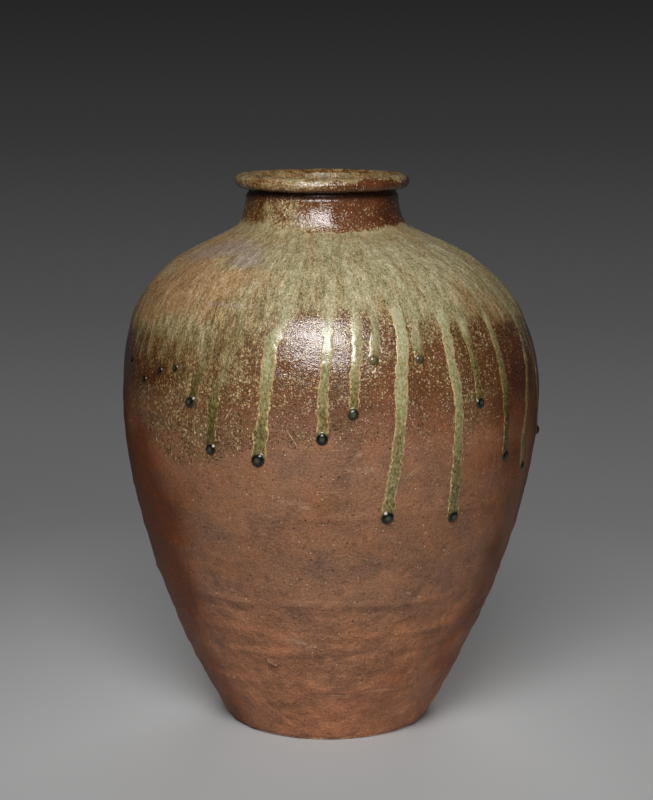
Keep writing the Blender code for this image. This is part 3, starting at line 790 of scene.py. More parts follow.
@dataclass(frozen=True)
class Stoneware:
    """Iron-rich stoneware, coil-built, scraped and fired bare with wood.

    It gives the eye a warm satin brown that flames flushed orange and purple-grey, with fine
    level scraping lines, pale grit and small dark pits. Its sides carry painted shade and its
    front a painted sheen.
    """

    # purple stands partly for a painted sheen in front, side and orange partly for painted shade on
    # the sides
    purple: str = "#785c4c"
    body: str = "#866048"
    side: str = "#7f4f32"
    orange: str = "#7d4626"
    low: str = "#ad714f"
    upper: str = "#6c412c"
    gloss_brown: str = "#543019"
    grit: str = "#d2b695"
    # colour of the pits, also laid as the painted shadow under the lip
    pit: str = "#2c1a14"
    dust: str = "#c9a983"
    roughness: float = 0.46
    film_roughness: float = 0.16
    mottle_mm: float = 9.0
    broad_mm: float = 28.0
    grain_mm: float = 1.6  # the real grain is finer; drawn so that it shows
    line_mm: float = 2.2
    stroke_mm: float = 1.5
    grit_mm: float = 6.5
    pit_mm: float = 9.0
    dust_mm: float = 1.9
    wrinkle_mm: float = 1.35  # the orange peel of the glossy film
    relief: float = 0.00062
    wrinkle_relief: float = 0.00028
    neck_wrinkle: float = 1.4  # how much coarser the film wrinkles on the neck

    def layer(self, tree: Tree, place: Socket) -> Layer:
        """Builds the clay's nodes.

        Args:
            tree: the material's node tree.
            place: the socket of the place on the jar, in metres.

        Returns:
            The clay as a layer.
        """
        add = partial(add_node, tree)
        flash, film = read_mask(tree, Mask.FLASH_AND_SHADE), read_mask(tree, Mask.FILM)
        height = add("SeparateXYZ", place).outputs["Z"]
        mottle = add("TexNoise", place, per_metre(self.mottle_mm), 5.0, 0.62)
        broad = add("TexNoise", place, per_metre(self.broad_mm), 2.0)
        grain = add("TexNoise", place, per_metre(self.grain_mm), 3.0, 0.6)
        swayed = add("VectorMath.MULTIPLY_ADD", broad.outputs["Color"], (0.030,) * 3, place)
        level = add("Mapping", swayed, Scale=(0.14, 0.14, 1.0))
        lines = add("TexNoise", level, per_metre(self.line_mm), 3.0, 0.7)
        upright = add("Mapping", swayed, Scale=(1.0, 1.0, 0.10))
        strokes = add("TexNoise", upright, per_metre(self.stroke_mm), 2.0, 0.6)

        # The flame's colours, which hold painted shade on the sides and a painted sheen in front,
        # then the dull orange foot, the dark shoulder and its brown film.
        tone = add("Math.MULTIPLY_ADD", flash, 0.34, 0.16)
        tone = pile_up(tree, tone, (0.06, mottle), (0.6, broad), clamp=True)
        flames = ((0.1, self.purple), (0.38, self.body), (0.75, self.side), (1.0, self.orange))
        colour = add("ValToRGB", tone, stops=flames)
        lower = add("MapRange", height, 0.170, 0.010, 0.0, 0.75)
        upper = add("MapRange", height, 0.235, 0.330, interpolation_type="SMOOTHSTEP")
        brown = add("Math.MULTIPLY", film, add("MapRange", flash, -0.2, 0.6, 0.45, 0.95))
        for share, code in ((lower, self.low), (upper, self.upper), (brown, self.gloss_brown)):
            colour = add("Mix.RGBA", share, colour, linear(code))

        # Light and shade of the scraped surface, rougher near the foot.
        shades = ((1.5, grain), (0.35, lines), (0.5, strokes), (0.6, mottle), (0.9, broad))
        rugged = add("MapRange", height, 0.160, 0.125, 0.0, 0.25)
        uneven = add("Math.SUBTRACT", mottle, 0.5)
        even = 1.0 - sum(weight for weight, _ in shades) / 2
        shade = add("Math.MULTIPLY_ADD", uneven, rugged, even)
        shade = pile_up(tree, shade, *shades)
        colour = add("Mix.RGBA", 1.0, colour, shade, blend_type="MULTIPLY")

        # Pale grit, settled ash dust, the worn edge of the foot, and pits.
        speck = add("MapRange", add("TexVoronoi", place, per_metre(self.grit_mm)), 0.10, 0.04)
        flecks = add("TexVoronoi", place, per_metre(self.dust_mm))
        chosen = add("SeparateColor", flecks.outputs["Color"])
        reach = add("MapRange", height, 0.235, 0.272, 0.08, 0.36, interpolation_type="SMOOTHSTEP")
        fleck = add("Math.SUBTRACT", add("Math.MULTIPLY", reach, chosen), flecks)
        fleck = add("Math.MULTIPLY", add("MapRange", fleck, 0.0, 0.05), chosen.outputs["Green"])
        worn = add("Math.MULTIPLY", add("MapRange", height, 0.0050, 0.0012), grain)
        worn = add("MapRange", worn, 0.44, 0.56, 0.0, 0.6)
        pit = add("MapRange", add("TexVoronoi", place, per_metre(self.pit_mm)), 0.08, 0.04)
        spots = ((speck, self.grit), (fleck, self.dust), (worn, self.grit), (pit, self.pit))
        for share, code in spots:
            colour = add("Mix.RGBA", share, colour, linear(code))

        rough = add("MapRange", film, 0.0, 1.0, self.roughness, self.film_roughness)
        rough = pile_up(tree, rough, (0.16, grain))
        dented = add("MapRange", height, 0.160, 0.115, 1.6, 3.4)
        lift = pile_up(tree, grain, (0.7, lines), (dented, mottle), (-1.0, pit))
        lift = add("Math.MULTIPLY", lift, self.relief)
        coarse = self.neck_wrinkle * self.wrinkle_relief
        coarser = add("MapRange", height, 0.412, 0.422, self.wrinkle_relief, coarse)
        wrinkle = add("TexNoise", place, per_metre(self.wrinkle_mm), 1.0)
        lift = add("Mix.FLOAT", film, lift, add("Math.MULTIPLY", wrinkle, coarser))
        return Layer(colour, rough, lift, film)


@dataclass(frozen=True)
class AshGlaze:
    """Natural ash glaze: wood ash that landed on the clay and melted there.

    It gives the eye an olive to khaki glass full of fine pale and dark grains, streaked down the
    slope, that breaks up into separate golden specks at its lower limit.
    """

    olive: tuple = (
        (0.0, "#4a4127"), (0.25, "#6b6341"), (0.50, "#908765"), (0.75, "#b0a585"), (1.0, "#dbcfb3"),
    )
    golden: tuple = (
        (0.0, "#452c17"), (0.28, "#6e5534"), (0.55, "#9d865e"), (0.80, "#c2ac86"), (1.0, "#e4d4af"),
    )
    scorched: tuple = ((0.0, "#5e4229"), (0.35, "#876a49"), (0.65, "#aa8d67"), (1.0, "#d2bd98"))
    bare: tuple = ((0.0, "#5c4c42"), (0.5, "#8d7d72"), (1.0, "#bcaea2"))
    stain: str = "#66461f"
    roughness: float = 0.36
    gloss: float = 0.10  # what is left of the clay's gloss where the ash lies dense
    speck_mm: float = 1.15
    dot_mm: float = 1.8
    grain_mm: float = 1.15  # the real grain is about half of this; drawn so that it shows
    clump_mm: float = 6.0
    streak_mm: float = 6.5
    hair_mm: float = 2.4
    relief: float = 0.00018

    def layer(self, tree: Tree, place: Socket, clay: Layer) -> Layer:
        """Builds the ash's nodes over the clay.

        Args:
            tree: the material's node tree.
            place: the socket of the place on the jar, in metres.
            clay: the layer that shows between the specks.

        Returns:
            The clay and its ash as one layer.
        """
        add = partial(add_node, tree)
        ash, flow, down = (read_mask(tree, mask) for mask in (Mask.ASH, Mask.FLOW, Mask.DOWN))
        height = add("SeparateXYZ", place).outputs["Z"]
        speck = add("TexNoise", place, per_metre(self.speck_mm), 1.5)
        dots = add("TexVoronoi", place, per_metre(self.dot_mm))
        grain = add("TexNoise", down, per_metre(self.grain_mm), 2.0, 0.65)
        clump = add("TexNoise", down, per_metre(self.clump_mm), 4.0, 0.65)
        clump = add("Math.SUBTRACT", clump, 0.5)
        drawn = add("Mapping", down, Scale=(1.0, 1.0, 0.22))
        streak = add("TexNoise", drawn, per_metre(self.streak_mm), 3.0, 0.6)
        streak = add("Math.SUBTRACT", streak, 0.5)
        fine = add("Mapping", down, Scale=(1.0, 1.0, 0.18))
        hair = add("TexNoise", fine, per_metre(self.hair_mm), 2.0, 0.6)

        # Specks rise out of the clay where their noise stands above a bar that the ash lowers.
        bar = add("MapRange", pile_up(tree, ash, (0.45, clump)), 0.0, 1.0, 0.80, 0.14)
        dotted = add("Math.MULTIPLY_ADD", dots, -0.40, 0.20)
        over = add("Math.ADD", add("Math.SUBTRACT", speck, bar), dotted)
        share = add("MapRange", over, -0.012, 0.045)

        # One tone reads every ramp: golden where thin, olive where full, scorched or bare.
        high = add("MapRange", height, 0.335, 0.385, -0.565, -0.427)
        tones = ((1.25, grain), (0.07, flow), (0.55, streak), (0.54, clump), (0.60, hair))
        tone = pile_up(tree, high, *tones)
        spark = add("Math.SUBTRACT", add("SeparateColor", dots.outputs["Color"]), 0.62)
        alone = add("MapRange", ash, 0.80, 0.45, 0.06, 0.75)
        tone = pile_up(tree, tone, (alone, spark), clamp=True)
        full = add("MapRange", ash, 0.40, 0.95, 0.15, 0.84)
        green = pile_up(tree, full, (0.60, flow), (-0.35, clump), (-0.4, streak), clamp=True)
        scorch = read_mask(tree, Mask.SCORCH)
        patch = add("Math.MULTIPLY", read_mask(tree, Mask.PATCH), 0.75)
        colour = add("ValToRGB", tone, stops=self.golden)
        for cover, stops in ((green, self.olive), (scorch, self.scorched), (patch, self.bare)):
            colour = add("Mix.RGBA", cover, colour, add("ValToRGB", tone, stops=stops))

        rough = add("MapRange", grain, 0.3, 0.7, self.roughness - 0.1, self.roughness + 0.14)
        lift = add("Math.MULTIPLY", add("Math.ADD", speck, grain), self.relief)
        matt = add("MapRange", ash, 0.66, 0.92, 1.0, self.gloss)
        gloss = add("Math.MULTIPLY", clay.gloss, matt)
        thin = add("MapRange", ash, 0.22, 0.62, 0.0, 0.55)
        stained = add("Mix.RGBA", thin, clay.colour, linear(self.stain))
        low = Layer(stained, clay.roughness, clay.height, clay.gloss)
        return lay_over(tree, share, low, Layer(colour, rough, lift, gloss))


@dataclass(frozen=True)
class RunGlass:
    """Ash glass that ran down the wall: clear olive, with a pale border where it thins.

    It gives the eye glossy ribbons, pale grey-green at the top and browner below, each with a
    cream edge and a near-black bead of pooled glass at its end, its grey middle a painted
    reflection.
    """

    stops: tuple = (
        (0.0, "#453a1a"), (0.25, "#6a5f37"), (0.55, "#857c54"), (0.8, "#96936b"), (1.0, "#a6a588"),
    )
    border: tuple = ((0.2, "#7d5c34"), (0.5, "#a78858"), (0.8, "#ccb489"))
    # the bead's grey middle is a painted reflection; the ring round it is the dark pooled glass
    bead: str = "#3e4238"
    bead_ring: str = "#11130e"
    bead_edge: str = "#4a4020"
    roughness: float = 0.20
    gloss: float = 0.8
    bead_gloss: float = 0.32
    streak_mm: float = 1.6
    ragged_mm: float = 2.6
    relief: float = 0.00012

    def layer(self, tree: Tree, place: Socket, below: Layer) -> Layer:
        """Builds the glass's nodes.

        Args:
            tree: the material's node tree.
            place: the socket of the place on the jar, in metres.
            below: the coat that the run starts from.

        Returns:
            The run as a layer.
        """
        add = partial(add_node, tree)
        rim, pool, rise = (read_mask(tree, mask) for mask in (Mask.RIM, Mask.POOL, Mask.RISE))
        streak = add("TexNoise", read_mask(tree, Mask.DOWN), per_metre(self.streak_mm), 3.0, 0.65)
        ragged = add("TexNoise", place, per_metre(self.ragged_mm), 3.0, 0.6)
        tone = add("Math.MULTIPLY_ADD", streak, 2.0, -1.0)
        tone = add("Math.ADD", read_mask(tree, Mask.FLOW), tone, use_clamp=True)
        glass = add("ValToRGB", tone, stops=self.stops)
        pale = add("ValToRGB", ragged, stops=self.border)
        dry = add("Math.SUBTRACT", 1.0, pool)
        edge = pile_up(tree, rim, (1.25, add("Math.SUBTRACT", ragged, 0.5)))
        edge = add("Math.MULTIPLY", add("MapRange", edge, 0.70, 0.84), dry)
        # painted reflection: grey in the bead's middle, near-black in its ring
        ring = add("MapRange", rim, 0.20, 0.55)
        pooled = add("Mix.RGBA", ring, linear(self.bead), linear(self.bead_ring))
        thin = add("MapRange", rim, 0.86, 1.0)
        pooled = add("Mix.RGBA", thin, pooled, linear(self.bead_edge))
        colour = add("Mix.RGBA", pool, add("Mix.RGBA", edge, glass, pale), pooled)
        rough = add("Math.MULTIPLY_ADD", edge, 0.28, self.roughness)
        rough = pile_up(tree, rough, (-0.10, pool))
        lift = add("Math.MULTIPLY", ragged, add("Math.MULTIPLY", dry, self.relief))
        gloss = add("MapRange", pool, 0.0, 1.0, self.gloss, self.bead_gloss)
        return lay_over(tree, rise, below, Layer(colour, rough, lift, gloss))


@dataclass(frozen=True)
class StuckClay:
    """A lump of kiln clay that stuck to the wall: dry, pale and rough."""

    pale: str = "#946c55"
    dark: str = "#6a4636"
    roughness: float = 0.85
    grain_mm: float = 1.3
    relief: float = 0.0005

    def layer(self, tree: Tree, place: Socket) -> Layer:
        """Builds the lump's nodes, from the socket of the place on the jar."""
        grain = add_node(tree, "TexNoise", place, per_metre(self.grain_mm), 4.0, 0.65)
        colour = add_node(tree, "ValToRGB", grain, stops=((0.35, self.dark), (0.62, self.pale)))
        rough = add_node(tree, "Math.MULTIPLY_ADD", grain, 0.1, self.roughness)
        return Layer(colour, rough, add_node(tree, "Math.MULTIPLY", grain, self.relief), 0.0)


@dataclass
class Finishes:
    """The jar's materials, each built once from its layers."""

    wall: Wall
    stoneware: Stoneware = Stoneware()
    ash: AshGlaze = AshGlaze()
    glass: RunGlass = RunGlass()
    stuck: StuckClay = StuckClay()
    # tint of the painted shade on the jar's sides
    side_shade_tint: str = "#c4a67b"
    broken_mm: float = 3.0  # how closely the rubs and scratches break up
    coat_roughness: float = 0.035
    coat_ior: float = 1.54
    ior: float = 1.50
    specular: float = 0.25  # pores take half of the bare clay's shine
    nicks: tuple = (
        Scratch((-28.2, 0.280), (-25.8, 0.291), 0.00055, 0.65),
        Scratch((-11.2, 0.277), (-8.3, 0.263), 0.00050, 0.65),
        Scratch((19.0, 0.235), (22.8, 0.245), 0.00040, 0.40),
        Scratch((20.5, 0.236), (24.0, 0.246), 0.00035, 0.30),
        Scratch((-0.4, 0.2615), (4.0, 0.2608), 0.00040, 0.35),
        Scratch((-6.5, 0.2285), (3.5, 0.2277), 0.00040, 0.35),
        Scratch((-3.0, 0.0470), (10.0, 0.0462), 0.00050, 0.60),
        Scratch((15.0, 0.0505), (33.0, 0.0470), 0.00045, 0.40),
        Scratch((120.0, 0.190), (124.0, 0.204), 0.00050, 0.60),
        Scratch((214.0, 0.236), (219.0, 0.222), 0.00050, 0.60),
    )
    names: tuple = (
        (Slot.BODY_CLAY, "wood_fired_stoneware"),
        (Slot.SHOULDER_CLAY, "flashed_stoneware"),
        (Slot.ASH_GLAZE, "natural_ash_glaze"),
        (Slot.RUN_GLAZE, "ash_run_glass"),
        (Slot.KILN_CLAY, "stuck_kiln_clay"),
    )
    made: dict = field(default_factory=dict)

    def material(self, slot: Slot) -> bpy.types.Material:
        """The finish of one of the record's slots, built when it is first asked for."""
        if slot not in self.made:
            self.made[slot] = self.build(slot)
        return self.made[slot]

    def build(self, slot: Slot) -> bpy.types.Material:
        """Builds a finish.

        Args:
            slot: the record's slot that it is for.

        Returns:
            Its material.
        """
        material = bpy.data.materials.new(dict(self.names)[slot])
        material.use_nodes = True
        tree = material.node_tree
        place = add_node(tree, "TexCoord").outputs["Object"]
        dry = slot is Slot.KILN_CLAY
        if dry:
            layer = self.stuck.layer(tree, place)
        else:
            layer = self.ash.layer(tree, place, self.stoneware.layer(tree, place))
        if slot is Slot.RUN_GLAZE:
            layer = self.glass.layer(tree, place, layer)
        if not dry:
            # painted shade on the sides of the jar
            self.paint_side_shade(tree, layer)
            self.rub(tree, place, layer)
            # painted shade under the lip
            self.paint_groove_shade(tree, place, layer)
        bump = add_node(tree, "Bump", Strength=1.0, Distance=1.0, Height=layer.height)
        looks = {
            "Base Color": layer.colour,
            "Roughness": layer.roughness,
            "Normal": bump,
            "Coat Weight": layer.gloss,
            "Coat Roughness": self.coat_roughness,
            "Coat IOR": self.coat_ior,
            "IOR": self.ior,
            "Specular IOR Level": self.specular,
            "Metallic": 0.0,
        }
        if not dry:
            looks["Coat Normal"] = bump
        for name, source in looks.items():
            feed(tree.nodes["Principled BSDF"].inputs[name], source)
        return material

    def paint_side_shade(self, tree: Tree, layer: Layer) -> None:
        """Paints shade: darkens the colour by the flash mask, most on the sides, less under dense
        ash.
        """
        dark = add_node(tree, "MapRange", read_mask(tree, Mask.FLASH_AND_SHADE), 0.05, 0.70)
        coated = add_node(tree, "MapRange", read_mask(tree, Mask.ASH), 0.55, 0.95, 1.0, 0.25)
        dark = add_node(tree, "Math.MULTIPLY", dark, coated)
        side_shade_tint = linear(self.side_shade_tint)
        layer.colour = add_node(tree, "Mix.RGBA", dark, layer.colour, side_shade_tint, blend_type="MULTIPLY")

    def rub(self, tree: Tree, place: Socket, layer: Layer) -> None:
        """Draws the pale rubs and the crisp nicks, both broken up by the grain."""
        rubbed = add_node(tree, "Math.MULTIPLY", read_mask(tree, Mask.SCUFF), 0.5)
        broken = add_node(tree, "TexNoise", place, per_metre(self.broken_mm), 2.0)
        broken = add_node(tree, "MapRange", broken, 0.35, 0.55, 0.3)
        for nick in self.nicks:
            line = add_node(tree, "Math.MULTIPLY", nick.draw(tree, place, self.wall), broken)
            rubbed = add_node(tree, "Math.MAXIMUM", rubbed, line)
        layer.colour = add_node(tree, "Mix.RGBA", rubbed, layer.colour, linear(self.stoneware.grit))

    def paint_groove_shade(self, tree: Tree, place: Socket, layer: Layer) -> None:
        """Paints the roll's shadow into the groove under the lip, as a dark, dull band by height.
        """
        height = add_node(tree, "SeparateXYZ", place).outputs["Z"]
        above = add_node(tree, "MapRange", height, 0.4395, 0.4440, 0.0, 0.88)
        under = add_node(tree, "MapRange", height, 0.4480, 0.4500, 1.0, 0.0)
        dark = add_node(tree, "Math.MULTIPLY", above, under)
        # painted shadow: the pit colour laid over the band under the lip
        layer.colour = add_node(tree, "Mix.RGBA", dark, layer.colour, linear(self.stoneware.pit))
        clear = add_node(tree, "Math.SUBTRACT", 1.0, dark)
        layer.gloss = add_node(tree, "Math.MULTIPLY", layer.gloss, clear)


# ------------------------------------------------------------------ meshes


def grid_corners(
    rows: int, columns: int, closed_rows: bool, closed_columns: bool
) -> tuple[Array, Array]:
    """Row and column of each quad's four corners, counted past the end where the grid closes."""
    row, column = np.meshgrid(
        np.arange(rows if closed_rows else rows - 1),
        np.arange(columns if closed_columns else columns - 1),
        indexing="ij",
    )
    row, column = row.ravel()[:, None], column.ravel()[:, None]
    return row + np.array([0, 0, 1, 1]), column + np.array([0, 1, 1, 0])


@dataclass
class Sheet:
    """A mesh woven from rows and columns of points, closed on itself or capped at its ends."""

    points: Array  # rows x columns x 3
    masks: dict
    closed_rows: bool = True
    closed_columns: bool = True
    lanes: int = 1  # bands that its unwrapped columns are stacked in
    sharp_rows: tuple = ()

    def build(self, name: str, material: bpy.types.Material) -> bpy.types.Object:
        """Makes the object.

        Args:
            name: the object's name.
            material: its finish.

        Returns:
            The object, linked to the scene, with its masks as values on its points.
        """
        rows, columns = self.points.shape[:2]
        row, column = grid_corners(rows, columns, self.closed_rows, self.closed_columns)
        quads = (row % rows) * columns + column % columns
        caps = self.caps(rows, columns)
        corners = np.concatenate([quads.ravel(), *caps]).astype(np.int32)
        cap_sizes = [len(cap) for cap in caps]
        sizes = np.concatenate([np.full(len(quads), 4), cap_sizes]).astype(np.int32)
        mesh = bpy.data.meshes.new(name)
        mesh.vertices.add(rows * columns)
        mesh.vertices.foreach_set("co", self.points.astype(np.float32).ravel())
        mesh.loops.add(len(corners))
        mesh.loops.foreach_set("vertex_index", corners)
        mesh.polygons.add(len(sizes))
        mesh.polygons.foreach_set("loop_start", (np.cumsum(sizes) - sizes).astype(np.int32))
        mesh.update(calc_edges=True)
        mesh.shade_smooth()
        self.unwrap(mesh, row, column, caps)
        self.sharpen(mesh, columns)
        for mask, values in self.masks.items():
            whole = mask is Mask.DOWN
            store = mesh.attributes.new(mask.value, "FLOAT_VECTOR" if whole else "FLOAT", "POINT")
            values = np.broadcast_to(values, (rows, columns, 3) if whole else (rows, columns))
            values = values.astype(np.float32).ravel()
            store.data.foreach_set("vector" if whole else "value", values)
        mesh.materials.append(material)
        thing = bpy.data.objects.new(name, mesh)
        bpy.context.scene.collection.objects.link(thing)
        return thing

    def caps(self, rows: int, columns: int) -> list[Array]:
        """The corners of the faces that close the open ends, if any."""
        if not self.closed_columns:
            first = np.arange(rows) * columns
            return [first, (first + columns - 1)[::-1]]
        if not self.closed_rows:
            first = np.arange(columns)
            return [first[::-1], first + (rows - 1) * columns]
        return []

    def unwrap(self, mesh: bpy.types.Mesh, row: Array, column: Array, caps: list[Array]) -> None:
        """Lays the grid flat in even bands, so that a baked picture keeps its fine detail.

        Args:
            mesh: the mesh.
            row: row of each quad's corners.
            column: column of each quad's corners.
            caps: corners of the end faces.
        """
        columns = self.points.shape[1] + (0 if self.closed_columns else -1)
        wrapped = self.points
        if self.closed_rows:
            wrapped = np.concatenate([wrapped, wrapped[:1]])
        steps = np.linalg.norm(np.diff(wrapped, axis=0), axis=2).mean(1) + 1e-6
        share = np.concatenate([[0.0], np.cumsum(steps) / steps.sum()])
        lane = np.minimum(column[:, :1] * self.lanes // columns, self.lanes - 1)
        across = column * self.lanes / columns - lane
        side, gap = 0.01, 0.02  # empty margins beside and between the bands
        flat_u = side + across * (1 - 2 * side)
        flat_v = (lane + gap + share[row] * (1 - 2 * gap)) / self.lanes
        uv = np.stack([flat_u, flat_v], axis=-1).reshape(-1, 2)
        ends = [0.002 + 0.003 * np.random.default_rng(5).random((len(cap), 2)) for cap in caps]
        layer = mesh.uv_layers.new(name="OFBake")
        layer.data.foreach_set("uv", np.concatenate([uv, *ends]).astype(np.float32).ravel())

    def sharpen(self, mesh: bpy.types.Mesh, columns: int) -> None:
        """Marks the edges along some rows as sharp."""
        if not self.sharp_rows:
            return
        ends = np.empty(len(mesh.edges) * 2, np.int32)
        mesh.edges.foreach_get("vertices", ends)
        level = ends.reshape(-1, 2) // columns
        sharp = (level[:, 0] == level[:, 1]) & np.isin(level[:, 0], self.sharp_rows)
        store = mesh.attributes.new("sharp_edge", "BOOLEAN", "EDGE")
        store.data.foreach_set("value", sharp)


# ------------------------------------------------------------------ the jar's pieces


@dataclass
class Piece:
    """What every part of the jar is built with."""

    wall: Wall
    firing: Firing
    finishes: Finishes

    def put(self, sheet: Sheet, name: str, node: str, slot: Slot) -> None:
        """Builds a piece and lets it stand for a CAD node.

        Args:
            sheet: its mesh.
            name: its name.
            node: the CAD node that it replaces.
            slot: the record's slot that it takes its finish from.
        """
        thing = sheet.build(name, self.finishes.material(slot))
        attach(thing, "root")
        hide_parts(node)
        LOG.info("%s: %d faces, %s", thing.name, len(thing.data.polygons), slot.value)


@dataclass
class ClayWork(Piece):
    """The slab, the bands of coils and the neck: closed rings that share one outer face."""

    columns: int = 960
    row_step: float = 0.00125
    lining_step: float = 0.0060
    tuck: float = 0.0003  # how far a ring's ends draw back up or down the wall
    end_depth: float = 0.0012  # how far inside its outer face they lie
    neck_overlap: float = 0.0015
    hub: float = 0.0020  # radius of the small hole in the middle of each flat face
    flat_radius: float = 0.0800
    inner_ash: float = 0.55
    bands: tuple = (
        ("heel_course", Slot.BODY_CLAY),
        ("lower_course", Slot.BODY_CLAY),
        ("middle_course", Slot.BODY_CLAY),
        ("belly_course", Slot.BODY_CLAY),
        ("upper_belly_course", Slot.SHOULDER_CLAY),
        ("shoulder_course", Slot.SHOULDER_CLAY),
        ("collar_course", Slot.SHOULDER_CLAY),
        ("neck", Slot.SHOULDER_CLAY),
    )

    def turns(self) -> Array:
        """The turns of the columns, once round."""
        return np.arange(self.columns) * 360 / self.columns

    def build(self) -> None:
        """Builds every piece of clay below the lip."""
        self.slab()
        edges = self.wall.climb_at([*self.wall.seams, self.wall.tucked_top - self.neck_overlap])
        for (node, slot), low, high in zip(self.bands, edges, edges[1:]):
            self.ring(node, slot, low, high)

    def ring(self, node: str, slot: Slot, low: float, high: float) -> None:
        """Builds one band of the wall.

        Args:
            node: the CAD node that it stands for.
            slot: its finish.
            low: climb of its lower edge.
            high: climb of its upper edge.
        """
        turn = self.turns()
        climbs = np.linspace(low, high, max(4, round((high - low) / self.row_step)))
        inner_climbs = np.linspace(high, low, max(3, round((high - low) / self.lining_step)))
        outer = self.wall.place(turn[None], climbs[:, None])
        ends = (high - self.tuck, low + self.tuck)
        top, bottom = (self.wall.stand(turn, climb, -self.end_depth)[None] for climb in ends)
        inner = self.wall.lining(turn[None], inner_climbs[:, None])
        points = np.concatenate([outer, top, inner, bottom])
        all_climbs = np.concatenate([climbs, [high], inner_climbs, [low]])[:, None]
        masks = self.firing.masks(turn[None], all_climbs)
        inside = np.arange(len(points)) >= len(climbs)
        dusted = self.inner_ash * smooth((self.wall.height_at(all_climbs[inside]) - 0.40) / 0.04)
        for mask, value in ((Mask.ASH, dusted), (Mask.SCORCH, 0.0), (Mask.PATCH, 0.0)):
            masks[mask][inside] = value
        sheet = Sheet(points, masks, lanes=4, sharp_rows=(0, len(climbs) - 1))
        self.put(sheet, node.replace("_course", "") + "_clay", node, slot)

    def slab(self) -> None:
        """Builds the base slab with its worn, chipped edge."""
        wall, turn, top_height = self.wall, self.turns(), self.wall.seams[0] - self.tuck
        climbs = np.linspace(wall.foot_chamfer, wall.climb_at(wall.seams[0]), 11)
        outer = wall.place(turn[None], climbs[:, None])
        ragged = 0.0007 * np.clip(drift(turn, turn * 0, 0.004, 0.1, 21), 0, 1)
        ragged += 0.0004 * drift(turn, turn * 0, 0.02, 0.1, 22)
        share = np.linspace(0, 1, 6)[:, None]
        angle = share * math.pi / 2
        radius = wall.foot_radius - wall.foot_chamfer * (1 - np.sin(angle)) - ragged * (1 - share)
        worn = wall.spin(turn, radius, wall.foot_chamfer * (1 - np.cos(angle)))
        flat = wall.spin(turn, np.linspace(self.hub, self.flat_radius, 14)[:, None], 0.0)
        top_radii = np.linspace(wall.radius_at(top_height) - self.end_depth, self.hub, 14)[:, None]
        top = wall.spin(turn, top_radii, top_height)
        points = np.concatenate([flat, worn, outer[1:], top])
        under, over = np.zeros(len(flat) + len(worn)), np.full(len(top), climbs[-1])
        masks = self.firing.masks(turn[None], np.concatenate([under, climbs[1:], over])[:, None])
        sharp_rows = (len(flat) - 1, len(points) - len(top) - 1)
        sheet = Sheet(points, masks, closed_rows=False, lanes=4, sharp_rows=sharp_rows)
        self.put(sheet, "foot_slab_clay", "base_slab", Slot.BODY_CLAY)


